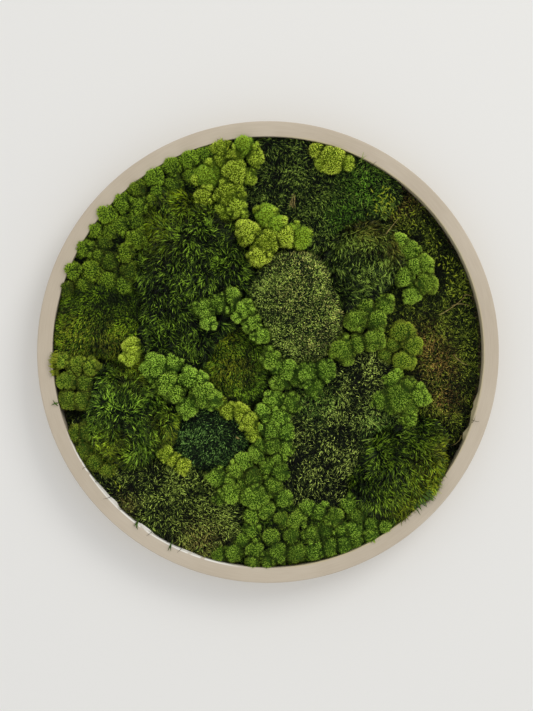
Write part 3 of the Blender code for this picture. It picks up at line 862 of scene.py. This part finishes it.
# Each dome's growth, its name and colours, and how much its shoots vary in tone.
CUSHIONS = {
    "centre": (
        Mound(
            tufts=7800, leaves=2, length=5.0, width=1.4, crest=(30, 60), sweep=0.3, spread=0.5,
            flow=(0, -0.1), patches=[(44, 112, 40), (84, 60, 34), (30, 70, 30), (60, 20, 30)],
            speckle=0.22, contrast=0.3, lying=0,
        ),
        ("cushion_cream", (24, 38, 14), (130, 164, 54), (238, 255, 128), (255, 250, 140), 1.3),
    ),
    "left": (
        Mound(
            tufts=4600, leaves=2, length=7.5, width=1.2, crest=(-225, 70), sweep=0.9, spread=0.3,
            flow=(-0.6, -0.9), patches=[(-250, 20, 30), (-200, 15, 26)], speckle=0.4, contrast=0.18,
        ),
        ("cushion_olive", (18, 30, 4), (80, 114, 9), (152, 187, 30), (170, 178, 44), 1.0),
    ),
    "middle": (
        Mound(
            tufts=3600, leaves=2, length=7.5, width=1.2, crest=(-45, 10), sweep=0.9, spread=0.32,
            flow=(0.5, -0.9), patches=[(-50, -20, 30), (-62, 20, 24)], speckle=0.5, contrast=0.22,
        ),
        ("cushion_gold", (16, 28, 4), (73, 111, 15), (146, 187, 42), (158, 166, 30), 1.1),
    ),
    "dark": (
        Mound(
            tufts=3200, leaves=2, length=6.5, width=1.2, crest=(-77, -100), sweep=0.7, spread=0.45,
            flow=(0.2, -0.3), contrast=0.3,
        ),
        ("cushion_blue", (11, 25, 9), (52, 92, 32), (146, 190, 92), (122, 144, 88), 1.2),
    ),
}
for name, (mound, look) in CUSHIONS.items():
    slot = "dark_cushion_moss" if name == "dark" else "cushion_moss"
    add_shoots = add_spikes if name == "centre" else add_leaves
    grow(
        f"cushion_moss_{name}", f"cushion_{name}", slot, mound, plant_shader(*look),
        grain=4, inset=2.0, slack=7, patch_size=20, add_shoots=add_shoots,
    )


# Forest and flat moss
# Low mats of small curled leaves, pressed flat and glued down. The sheet along the right has
# browned in places.

# Each mat's growth, its name and colours, and how much its leaves vary in tone.
MATS = {
    "forest_moss_centre": (
        Mound(
            tufts=6100, leaves=3, length=8.5, width=0.98, crest=(92, -98), sweep=0.85, spread=0.5,
            flow=(0, -0.6), patches=[(60, -60, 30), (150, -100, 30)], contrast=0.36,
        ),
        ("forest_grey", (6, 10, 3), (50, 73, 16), (206, 226, 108), (124, 170, 60), 1.5),
    ),
    "forest_moss_lower_left": (
        Mound(
            tufts=5200, leaves=3, length=9.0, width=1.02, crest=(-130, -190), sweep=0.85, spread=0.5,
            flow=(0.4, -0.3), patches=[(-88, -244, 26), (-183, -198, 14)], contrast=0.34,
        ),
        ("forest_olive", (9, 14, 3), (70, 95, 21), (196, 218, 98), (160, 150, 76), 1.4),
    ),
    "forest_moss_top": (
        Mound(
            tufts=6100, leaves=3, length=9.5, width=1.02, crest=(60, 200), sweep=0.85, spread=0.5,
            flow=(0, -0.6), patches=[(126, 217, 30), (100, 180, 24)], contrast=0.36,
        ),
        ("forest_dark", (6, 12, 4), (47, 75, 17), (150, 175, 70), (110, 166, 36), 1.4),
    ),
    "forest_moss_left": (
        Mound(
            tufts=1500, leaves=4, length=9.0, width=1.6, crest=(-180, 150), sweep=0.6, spread=0.6,
            flow=(0, 0), contrast=0.3,
        ),
        ("forest_green", (12, 24, 4), (62, 92, 14), (126, 160, 40), (140, 150, 40), 1.0),
    ),
    "forest_moss_bottom": (
        Mound(
            tufts=1500, leaves=4, length=9.0, width=1.6, crest=(70, -230), sweep=0.6, spread=0.6,
            flow=(0, 0), contrast=0.3,
        ),
        ("forest_fresh", (12, 24, 4), (62, 92, 14), (122, 156, 40), (140, 150, 40), 1.0),
    ),
    "flat_moss_right": (
        Mound(
            tufts=7500, leaves=3, length=8.0, width=0.98, crest=(200, 30), sweep=0.75, spread=0.6,
            flow=(0, -0.2), patches=[(206, 9, 26), (223, -17, 24), (165, 200, 26), (232, -60, 20)],
            speckle=0.5, contrast=0.26,
        ),
        ("sheet_brown", (16, 22, 5), (74, 96, 18), (174, 192, 60), (186, 150, 76), 1.3),
    ),
}
for node, (mound, look) in MATS.items():
    name = node.replace("forest_moss", "leafy_mat").replace("flat_moss", "leafy_sheet")
    slot = node[: node.index("_moss")] + "_moss"
    grain, inset = (4, 1.0) if slot == "flat_moss" else (5, 2.5)
    grow(node, name, slot, mound, plant_shader(*look), grain, inset, slack=7, patch_size=24)


# Reindeer lichen
# Round foamy heads of a branched lichen, dyed yellow-green to dark green and pushed together
# into clumps. Each head is a ball of fine forked tips. A head is x, z, radius and top in mm.
BED_TOP = -26
HEAD_ROOT = 3
HEADS = {
    "centre_arc": [
        (-83, 56, 16, 22), (-78, 39, 13, 18), (-62, 63, 15, 22), (-48, 72, 14, 20),
        (-31, 55, 16, 18), (-20, 38, 15, 16), (-9, 22, 14, 14), (-44, 60, 12, 14),
    ],
    "left_rim": [
        (-240, 135, 15, 8), (-230, 108, 16, 5), (-254, 106, 14, 8), (-206, 118, 16, 3),
        (-186, 130, 15, 4), (-182, 106, 16, 1), (-188, 86, 14, 0), (-208, 94, 16, 0),
        (-222, 126, 14, 2), (-214, 142, 14, 2), (-264, 82, 13, 6), (-240, 90, 14, 2),
    ],
    "left_upper": [
        (-211, 180, 16, 9), (-192, 164, 15, 4), (-191, 196, 15, 8), (-171, 212, 15, 8),
        (-168, 192, 15, 4), (-170, 148, 16, 4), (-206, 157, 15, 2), (-226, 160, 14, 6),
        (-172, 170, 14, 2), (-150, 196, 14, 2),
    ],
    "upper_dark": [
        (-148, 230, 15, 8), (-124, 219, 15, 3), (-126, 243, 15, 8), (-104, 252, 15, 9),
        (-84, 258, 15, 5), (-142, 208, 14, 2), (-100, 230, 14, 2),
    ],
    "top_left": [
        (-77, 229, 21, 10), (-84, 203, 15, 8), (-60, 266, 17, 9), (-42, 236, 20, 14),
        (-27, 228, 14, 8), (-50, 205, 22, 14), (-40, 188, 16, 14), (-30, 268, 17, 13),
        (-18, 254, 14, 10), (-62, 248, 14, 6), (-42, 256, 14, 8), (-60, 184, 14, 8),
    ],
    "upper_middle": [
        (-2, 178, 17, 8), (10, 166, 15, 10), (-27, 155, 18, 16), (-3, 143, 18, 17),
        (-11, 126, 17, 18), (24, 151, 16, 10), (43, 150, 17, 4), (34, 160, 12, 4),
    ],
    "top_right": [
        (84, 252, 21, 10), (62, 262, 14, 4), (104, 246, 13, 5), (70, 245, 13, 3),
    ],
    "right_upper": [
        (184, 131, 16, 4), (203, 114, 15, 4), (206, 91, 17, 6), (177, 98, 15, 8),
        (188, 76, 14, 2), (190, 112, 14, 6), (172, 144, 13, 2),
    ],
    "right_inner": [
        (152, 60, 15, 2), (126, 58, 15, 4), (115, 42, 18, 10), (140, 41, 17, 8),
        (137, 17, 18, 12), (98, 4, 19, 8), (118, 12, 15, 6),
    ],
    "right_arc": [
        (176, 26, 17, 2), (188, 9, 15, 4), (178, -9, 16, 2), (164, 10, 14, -4), (152, -6, 13, -5),
    ],
    "lower_right": [
        (163, -36, 15, 2), (170, -56, 23, 7), (147, -63, 17, 2), (196, -58, 16, 4),
        (182, -72, 15, 2), (160, -70, 14, 0), (184, -90, 13, 4), (182, -104, 13, 4),
        (183, -44, 14, 4),
    ],
    "under_cushion": [
        (5, -8, 16, 14), (26, -24, 16, 14), (16, -38, 15, 6), (49, -29, 16, 14),
        (74, -24, 16, 10), (60, -46, 15, 6), (38, -34, 13, 6), (14, -20, 13, 10),
    ],
    "centre_column": [
        (29, -66, 16, 4), (9, -64, 16, 4), (-6, -78, 14, 6), (15, -84, 15, 4),
        (3, -101, 16, 6), (5, -121, 15, 4), (23, -125, 14, 2), (-9, -120, 13, 2),
        (22, -104, 15, 0), (-15, -134, 13, 4), (14, -140, 13, 2),
    ],
    "yellow_chain": [
        (-51, -77, 14, 2), (-36, -79, 14, 6), (-24, -91, 14, 10), (-19, -106, 13, 6),
        (-61, -68, 12, -2),
    ],
    "lower_middle": [
        (-33, -143, 14, 4), (-43, -154, 14, 4), (-65, -164, 15, 4), (-51, -167, 14, 4),
        (-20, -162, 16, 4), (5, -173, 16, 2), (16, -156, 15, 4), (0, -150, 13, 2),
        (-49, -183, 16, 8), (-17, -187, 20, 10), (-4, -206, 15, 2), (-20, -213, 14, 0),
        (-34, -174, 14, -2), (-62, -190, 12, 0), (20, -190, 14, -2),
    ],
    "left_chain": [
        (-146, -19, 19, 18), (-124, -18, 15, 10), (-132, -40, 18, 16), (-122, -54, 15, 14),
        (-103, -34, 16, 12), (-86, -54, 20, 14), (-88, -36, 12, 8), (-104, -71, 16, 10),
        (-72, -62, 14, 8),
    ],
    "yellow_left": [
        (-177, 8, 14, 14), (-178, -6, 14, 12),
    ],
    "yellow_lower": [
        (-134, -132, 12, 3), (-111, -149, 13, 3), (-123, -141, 12, 1),
    ],
    "rim_middle": [
        (-268, -10, 13, 8), (-250, -17, 15, 8), (-232, -20, 14, 6), (-260, -37, 16, 8),
        (-262, -62, 15, 6), (-242, -62, 15, 4), (-240, -40, 15, 4),
    ],
    "rim_lower": [
        (-236, -104, 16, 4), (-240, -128, 16, 4), (-226, -143, 16, 4), (-207, -153, 14, 5),
        (-252, -106, 14, 3),
    ],
    "bottom_left": [
        (-22, -232, 14, -2), (3, -242, 15, 0), (18, -218, 14, 0), (-16, -258, 15, 3),
        (12, -262, 17, 4), (-20, -273, 13, 4), (0, -273, 13, 4), (-46, -262, 15, 1),
        (-33, -246, 14, -2), (-64, -262, 14, -1), (31, -240, 15, -1), (36, -263, 16, 3),
    ],
    "bottom_middle": [
        (38, -218, 15, 2), (52, -203, 13, 0), (67, -207, 14, 0), (86, -216, 15, 4),
        (57, -237, 16, 2), (75, -232, 15, -1), (60, -259, 15, 3), (80, -255, 15, 3),
        (99, -250, 15, 3), (96, -233, 15, -1),
    ],
    "bottom_right": [
        (108, -198, 15, 2), (116, -213, 15, 2), (113, -230, 15, 4), (136, -240, 15, 4),
        (116, -247, 14, 0), (154, -230, 14, 3), (134, -224, 15, 0), (127, -206, 13, -1),
    ],
}
LICHEN_GREEN = plant_shader(
    "lichen_green", (54, 84, 14), (112, 156, 34), (192, 228, 86), (150, 162, 44), 1.1, 0.75
)
LICHEN_YELLOW = plant_shader(
    "lichen_yellow", (84, 104, 12), (160, 182, 32), (232, 244, 96), (104, 160, 34), 1.1, 0.75
)
LICHEN_DARK = plant_shader(
    "lichen_dark", (44, 68, 10), (94, 132, 22), (164, 200, 54), (150, 164, 36), 1.0, 0.75
)
# The slot and finish of the clumps that aren't plain green.
LOOKS = {
    **dict.fromkeys(
        ("top_left", "top_right", "upper_middle", "yellow_left", "yellow_lower", "yellow_chain"),
        ("yellow_lichen", LICHEN_YELLOW),
    ),
    **dict.fromkeys(("upper_dark", "left_rim", "left_upper"), ("dark_lichen", LICHEN_DARK)),
}
# Spots where yellow heads turn green, and where heads are brighter, as x, z and radius in mm.
GREEN_SPOTS = [(-2, 178, 14), (10, 166, 12), (43, 150, 16), (34, 160, 10), (-77, 229, 14), (-30, 268, 16)]
GREEN_SHARE = 0.75
BRIGHT_SPOTS = [
    (-205, 182, 20), (-235, 132, 20), (-229, 109, 18), (-105, 248, 18), (-148, 230, 14), (-86, 256, 14),
    (-31, 55, 12), (-20, 38, 14), (-9, 22, 14), (-2, 178, 12), (12, 165, 12), (43, 150, 14),
    (-256, -13, 14), (-238, -18, 12),
]
BRIGHT_SHARE = 0.25
# How much lighter some clumps are, and how far they turn to the accent colour.
TINTS = {
    "top_left": (0.09, 0.1), "upper_middle": (0.16, 0.0), "right_inner": (0.06, 0.3),
    "right_upper": (0.06, 0.3), "right_arc": (-0.04, 0.8), "centre_arc": (-0.1, 0.0),
    "left_chain": (0.12, 0.0), "bottom_left": (-0.08, 0.2), "bottom_middle": (-0.06, 0.1),
    "bottom_right": (-0.04, 0.1), "left_upper": (0.12, 0.25), "upper_dark": (0.12, 0.1),
    "lower_middle": (0.05, 0.1), "lower_right": (0.0, 0.2), "centre_column": (-0.02, 0.0),
    "rim_middle": (-0.08, 0.7), "rim_lower": (-0.25, 0.8), "yellow_left": (0.14, 0.1),
    "left_rim": (-0.06, 0.25),
}
LOBES = 10
LOBE_PLACE = 0.4
LOBE_SCATTER = 0.16
LOBE_SIZE = 0.64
LOBE_TONES = 0.06
LEAST_REACH = 0.4
CORE_SHARE = 0.86
BUD_SIZE = 11.0 * MM


def sphere_points(count):
    """Points spread evenly over a ball, in a spiral about Y."""
    step = np.arange(count) + 0.5
    height = 1 - 2 * step / count
    around = step * math.pi * (1 + math.sqrt(5))
    wide = np.sqrt(1 - height**2)
    return np.stack([wide * np.cos(around), height, wide * np.sin(around)], axis=1)


def core_ball(fineness):
    """Points and triangles of a coarse ball of radius 1."""
    mesh = bpy.data.meshes.new("core")
    form = bmesh.new()
    bmesh.ops.create_icosphere(form, subdivisions=fineness, radius=1.0)
    form.to_mesh(mesh)
    form.free()
    points, triangles = mesh_arrays(mesh)
    return unit(points), triangles


COARSE_BALL = core_ball(1)
FINE_BALL = core_ball(2)


class Head:
    """One lichen head: a ball of smaller lobes that are grown together."""

    def __init__(self, x, z, wide, top):
        foot = BED_TOP - HEAD_ROOT
        self.centre = np.array([x * MM, FRONT - (foot + top) / 2 * MM, z * MM])
        self.half = np.array([wide, (top - foot) / 2, wide]) * MM
        places = random.uniform(0.88, 1.12, LOBES) * LOBE_PLACE
        scattered = sphere_points(LOBES) + random.normal(size=(LOBES, 3)) * LOBE_SCATTER
        self.lobes = unit(scattered) * places[:, None]
        self.sizes = LOBE_SIZE * random.uniform(0.86, 1.1, LOBES)
        self.tones = random.normal(0, LOBE_TONES, LOBES)
        self.area = 4 * math.pi * self.half[0] * self.half.mean()

    def reach(self, directions):
        """How far the head reaches in each direction, and the lobe that does."""
        along = directions @ self.lobes.T
        inside = along**2 - np.sum(self.lobes**2, axis=1) + self.sizes**2
        far = np.where(inside > 0, along + np.sqrt(np.maximum(inside, 0)), LEAST_REACH)
        return far.max(axis=1), far.argmax(axis=1)

    def core(self):
        """The inner form, a little smaller. Its dark colour is partly painted shade."""
        directions, triangles = FINE_BALL if self.half[0] > BUD_SIZE else COARSE_BALL
        far, _ = self.reach(directions)
        points = self.centre + directions * far[:, None] * self.half * CORE_SHARE
        return points, triangles, directions


TIP_SPACING = 1.52 * MM
TIP_LENGTH = 3.0 * MM
TIP_WIDTH = 1.45 * MM
TIP_ROOT = 0.75
TIP_SPREAD = 0.38
TIP_TONE = 0.6
TIP_SLACK = 5 * MM
FAR_OFF = 2.0
BURIED = 0.9
PAINTED_RIM_LIGHT = 0.35
TIPS_END = 0.2


class Tips:
    """The forked tips of a head, each with its place, direction, size and tone."""

    def __init__(self, head, heads, tone, accent):
        even = sphere_points(int(head.area / TIP_SPACING**2))
        directions = unit(even + random.normal(size=3) * 0.02)
        directions = unit(directions + random.normal(size=directions.shape) * 0.05)
        far, lobe = head.reach(directions)
        surface = directions * far[:, None]
        normals = unit((surface - head.lobes[lobe]) / head.half)
        surface = head.centre + surface * head.half
        beside = np.full(len(surface), FAR_OFF)
        for other in heads:
            if other is not head:
                away = np.linalg.norm((surface - other.centre) / other.half, axis=1)
                beside = np.minimum(beside, away)
        shown = exposed(surface, TIP_SLACK) & (normals[:, 1] < TIPS_END) & (beside > BURIED)
        tip = np.flatnonzero(shown)
        count = len(tip)
        self.starts = normals[tip] + random.normal(size=(count, 3)) * TIP_SPREAD
        self.ends = self.starts
        self.lengths = random.uniform(0.6, 1.15, count) * TIP_LENGTH
        self.widths = random.uniform(0.75, 1.2, count) * TIP_WIDTH
        self.roots = surface[tip] - normals[tip] * TIP_LENGTH * TIP_ROOT
        # Tips deep in creases between lobes, in hollows and close to other heads are painted darker, and
        # proud tips lighter: painted shade.
        painted_shading = np.clip((far[tip] - 0.97) * 1.8, -0.25, 0.12) + proud(surface[tip]) * 0.5
        painted_shading += np.clip((beside[tip] - 1.15) * 2.0, -0.42, 0)
        # Tips that face sideways on a head's outer side, clear of other heads, are painted lighter: a
        # painted rim of light.
        sideways = np.clip(1 + normals[tip, 1], 0, 1) ** 2
        painted_shading += sideways * np.clip((beside[tip] - 1.1) * 3, 0, 1) * PAINTED_RIM_LIGHT
        tones = TIP_TONE + tone + head.tones[lobe[tip]] + painted_shading + random.normal(0, 0.2, count)
        self.tones = np.clip(tones, 0, 1)
        self.accents = np.full(count, accent)


BUD_TURNS = {"dark_lichen": (0, 75, 150, 215, 290)}
FEW_BUDS = (0, 125, 235)
WIDE_HEAD = 14
HEAD_LIMIT = 281
HEAD_TONES = 0.11
HEAD_ACCENTS = 0.3


def with_buds(rows, turns):
    """The heads of a clump, and the smaller ones that sprout from their sides, in millimetres."""
    grown = [(*row, random.normal(0, HEAD_TONES), random.uniform(0, HEAD_ACCENTS)) for row in rows]
    for x, z, wide, top, tone, accent in grown[: len(rows)]:
        turn = random.uniform(0, 360)
        for more in turns if wide > WIDE_HEAD else turns[:-1]:
            angle = math.radians(turn + more + random.uniform(-25, 25))
            away = wide * random.uniform(0.55, 0.75)
            size = wide * random.uniform(0.42, 0.62)
            low = wide * random.uniform(0.05, 0.5)
            bud_x, bud_z = x + away * math.cos(angle), z + away * math.sin(angle)
            if math.hypot(bud_x, bud_z) + size <= HEAD_LIMIT:
                grown.append((bud_x, bud_z, size, top - low, tone, accent))
    return grown


for name, rows in HEADS.items():
    slot, shader = LOOKS.get(name, ("green_lichen", LICHEN_GREEN))
    lighter, tint = TINTS.get(name, (0.0, 0.0))
    growth = Growth()
    grown = with_buds(rows, BUD_TURNS.get(slot, FEW_BUDS))
    heads = [Head(*row[:4]) for row in grown]
    for head, (*_, tone, accent) in zip(heads, grown):
        growth.add_form(head.core())
        accent = max(GREEN_SHARE * gathered(head.centre[None], GREEN_SPOTS)[0], accent + tint)
        tone = tone + lighter + BRIGHT_SHARE * gathered(head.centre[None], BRIGHT_SPOTS)[0]
        add_spikes(growth, Tips(head, heads, tone, min(accent, 1.0)))
    growth.finish(f"heads_{name}", shader, [f"lichen_{name}"], slot)


# Stray stems and sprigs
# Bits of dry stem and leaf that stick out of the mats, and strands, a fringe and a tuft that
# hang over the ring. They grow out of the moss under them. Each is given by its start, bend and
# end, as x, z and height over the moss or the ring in millimetres.
STEM_STEPS = 7
RIM = 279
BED_DEPTH = 26 * MM
STEM_TAPER = 0.7
STEM_RELIEF = 0.2 * MM
LEAF_THICKNESS = 0.35


class Stems:
    """The mesh of some loose stems or leaves of one kind."""

    def __init__(self):
        self.points = []
        self.faces = []

    def add(self, start, bend, end, width, leafy=False):
        """Adds a stem along a curve, or a flat leaf."""
        curve = []
        for step in range(STEM_STEPS):
            share = step / (STEM_STEPS - 1)
            weights = ((1 - share) ** 2, 2 * share * (1 - share), share**2)
            x, z, height = (sum(w * p[k] for w, p in zip(weights, (start, bend, end))) for k in range(3))
            place = np.array([[x, 0.0, z]]) * MM
            base = min(seen_beyond[cell_of(place)][0], FRONT + BED_DEPTH)
            if math.hypot(x, z) > RIM:
                base = FRONT
            curve.append(np.array([x * MM, base - height * MM, z * MM]))
        low = min(point[1] for point in curve[1:-1])
        first = len(self.points)
        for step, point in enumerate(curve):
            share = step / (STEM_STEPS - 1)
            ahead = curve[min(step + 1, STEM_STEPS - 1)] - curve[max(step - 1, 0)]
            side = np.array([-ahead[2], 0.0, ahead[0]])
            side /= max(np.linalg.norm(side), TINY)
            full = math.sin(math.pi * min(0.97, share + 0.06)) ** 0.7 if leafy else 1 - STEM_TAPER * share
            half = width * MM * full / 2
            thick = np.array([0.0, half * (LEAF_THICKNESS if leafy else 1.0), 0.0])
            point[1] = low + (point[1] - low) * 0.5
            self.points += [point - side * half, point - thick, point + side * half, point + thick]
        for step in range(STEM_STEPS - 1):
            near, far = first + 4 * step, first + 4 * (step + 1)
            for k in range(4):
                following = (k + 1) % 4
                self.faces.append((near + k, far + k, far + following, near + following))
        last = first + 4 * (STEM_STEPS - 1)
        self.faces += [(first, first + 1, first + 2, first + 3), (last + 3, last + 2, last + 1, last)]

    def finish(self, name, light, dark, slot):
        """Makes the object, mottled between two colours."""
        mesh = bpy.data.meshes.new(name)
        mesh.from_pydata(kept_in(np.array(self.points)).tolist(), [], self.faces)
        mesh.shade_smooth()
        item = put_in_scene(name, mesh)
        shader = Shader(name, 0.7, specular=0.3)
        mottle = shader.noise(shader.place(), 400.0, 3.0)
        shader.paint(Base_Color=shader.mix(mottle.between(0.3, 0.7), light, dark))
        shader.bump(mottle, 0.3, STEM_RELIEF)
        mesh.materials.append(shader.material)
        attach(item, "root")


dry = Stems()
dry.add((153, 153, 8), (162, 165, 14), (171, 175, 12), 1.5)
dry.add((223, 48, 6), (246, 60, 13), (258, 74, 8), 1.4)
dry.add((240, 60, 6), (250, 66, 10), (264, 60, 6), 1.2)
dry.add((243, -4, 5), (252, -16, 11), (262, -17, 6), 1.3)
dry.add((256, 74, 6), (262, 76, 9), (268, 72, 6), 1.1)
dry.add((253, -109, 3), (250, -120, 6), (238, -123, 3), 1.2)
dry.add((-42, -110, 2), (-40, -112, 4), (-37, -113, 2), 2.6, True)
for turn in range(12):
    x, z = random.normal(32, 2.2), random.normal(195, 6)
    lean = random.uniform(-3, 3, 2)
    dry.add((x, z + 4, 4), (x + lean[0], z, 8), (x + lean[1], z - 5, 5), 0.9)
dry.finish("dry_stems", srgb(172, 156, 92), srgb(112, 100, 52), "flat_moss")

dark = Stems()
dark.add((262, -86, 2), (268, -91, 3), (274, -90, 2), 0.9)
dark.add((264, -92, 2), (268, -90, 3), (269, -82, 2), 0.7)
dark.add((134, 240, 2), (137, 245, 3), (141, 247, 2), 0.8)
for x, z in (
    (-222, -170), (-206, -190), (-190, -206), (-170, -222),
    (-152, -236), (-236, -150), (-130, -248), (-112, -257),
):
    away = random.uniform(0.005, 0.025, 2)
    lean = random.uniform(-5, 5, 2)
    end = (x * (1 + away[1]) + lean[0], z + lean[1], 2)
    dark.add((x * 0.985, z * 0.985, 1), (x * (1 + away[0]), z, 3), end, 0.8)
dark.finish("dark_strands", srgb(58, 58, 24), srgb(36, 34, 16), "flat_moss")

SPRIG_LIMIT = 268
fresh = Stems()
for x, z, reach, count in (
    (154, 199, 7, 26), (146, 186, 8, 14), (160, 186, 6, 10), (232, 112, 5, 9), (240, 102, 6, 7),
    (186, 190, 12, 12), (212, 160, 14, 12), (246, 84, 8, 6), (200, 176, 10, 8),
    (-212, -186, 8, 10), (-196, -176, 8, 8), (-52, 262, 4, 3),
):
    for sprig in range(count):
        start = random.normal((x, z), reach)
        if np.hypot(*start) > SPRIG_LIMIT:
            continue
        turn = random.uniform(0, 2 * math.pi)
        length = random.uniform(3.5, 7)
        way = np.array([math.cos(turn), math.sin(turn)]) * length
        width = random.uniform(1.2, 2.0)
        fresh.add((*start, 1), (*(start + way * 0.5), 4), (*(start + way), 2), width, True)
fresh.finish("yellow_sprigs", srgb(176, 186, 40), srgb(130, 150, 30), "forest_moss")

blades = Stems()
blades.add((121, -115, 4), (131, -113, 9), (141, -112, 8), 1.4)
blades.add((127, -118, 4), (133, -116, 8), (138, -112, 7), 1.2)
blades.add((139, -94, 4), (144, -99, 8), (149, -107, 7), 1.4)
blades.add((121, 246, 3), (122, 252, 4), (124, 259, 2), 1.2)
blades.add((118, 248, 3), (124, 252, 4), (128, 255, 2), 1.0)
blades.finish("loose_blades", srgb(150, 176, 66), srgb(104, 134, 40), "mood_moss")

FRINGE_LEAVES = 34
FRINGE_LOW = -34
FRINGE_HIGH = 2
FRINGE_REACH = 6.5
fringe = Stems()
for sprig in range(FRINGE_LEAVES):
    z = random.uniform(FRINGE_LOW, FRINGE_HIGH)
    bulge = math.sin(math.pi * (FRINGE_HIGH - z) / (FRINGE_HIGH - FRINGE_LOW))
    reach = RIM + FRINGE_REACH * bulge * random.uniform(0.6, 1)
    end = (-reach, z + random.uniform(-4, 4), 3)
    fringe.add((-272, z, 4), (-277, z, 7), end, random.uniform(1.6, 2.4), True)
fringe.finish("rim_fringe", srgb(158, 166, 34), srgb(104, 120, 20), "forest_moss")

TUFT_TURNS = np.linspace(-46.5, -40.5, 12)
tuft = Stems()
tuft.add((-271, -66, 2), (-276, -66, 4), (-281, -69, 2), 2.0, True)
tuft.add((-272, -70, 2), (-276, -68, 4), (-279, -62, 2), 1.6, True)
for degrees in TUFT_TURNS:
    angle = math.radians(degrees + random.uniform(-0.5, 0.5))
    way = np.array([math.cos(angle), math.sin(angle)])
    tip = way * random.uniform(282, 289) + random.uniform(-2.5, 2.5, 2)
    tuft.add((*(way * 272), 4), (*(way * 280), 6), (*tip, 3), random.uniform(1.6, 2.4), True)
for x, z in ((-171, -221), (-127, -250)):
    for sprig in range(4):
        lean = random.uniform(-3, 3, 2)
        tuft.add((x * 0.98, z * 0.98, 2), (x, z - 2, 4), (x + lean[0], z - 7 + lean[1], 2), 1.6, True)
tuft.finish("rim_tuft", srgb(84, 116, 30), srgb(46, 70, 20), "mood_moss")
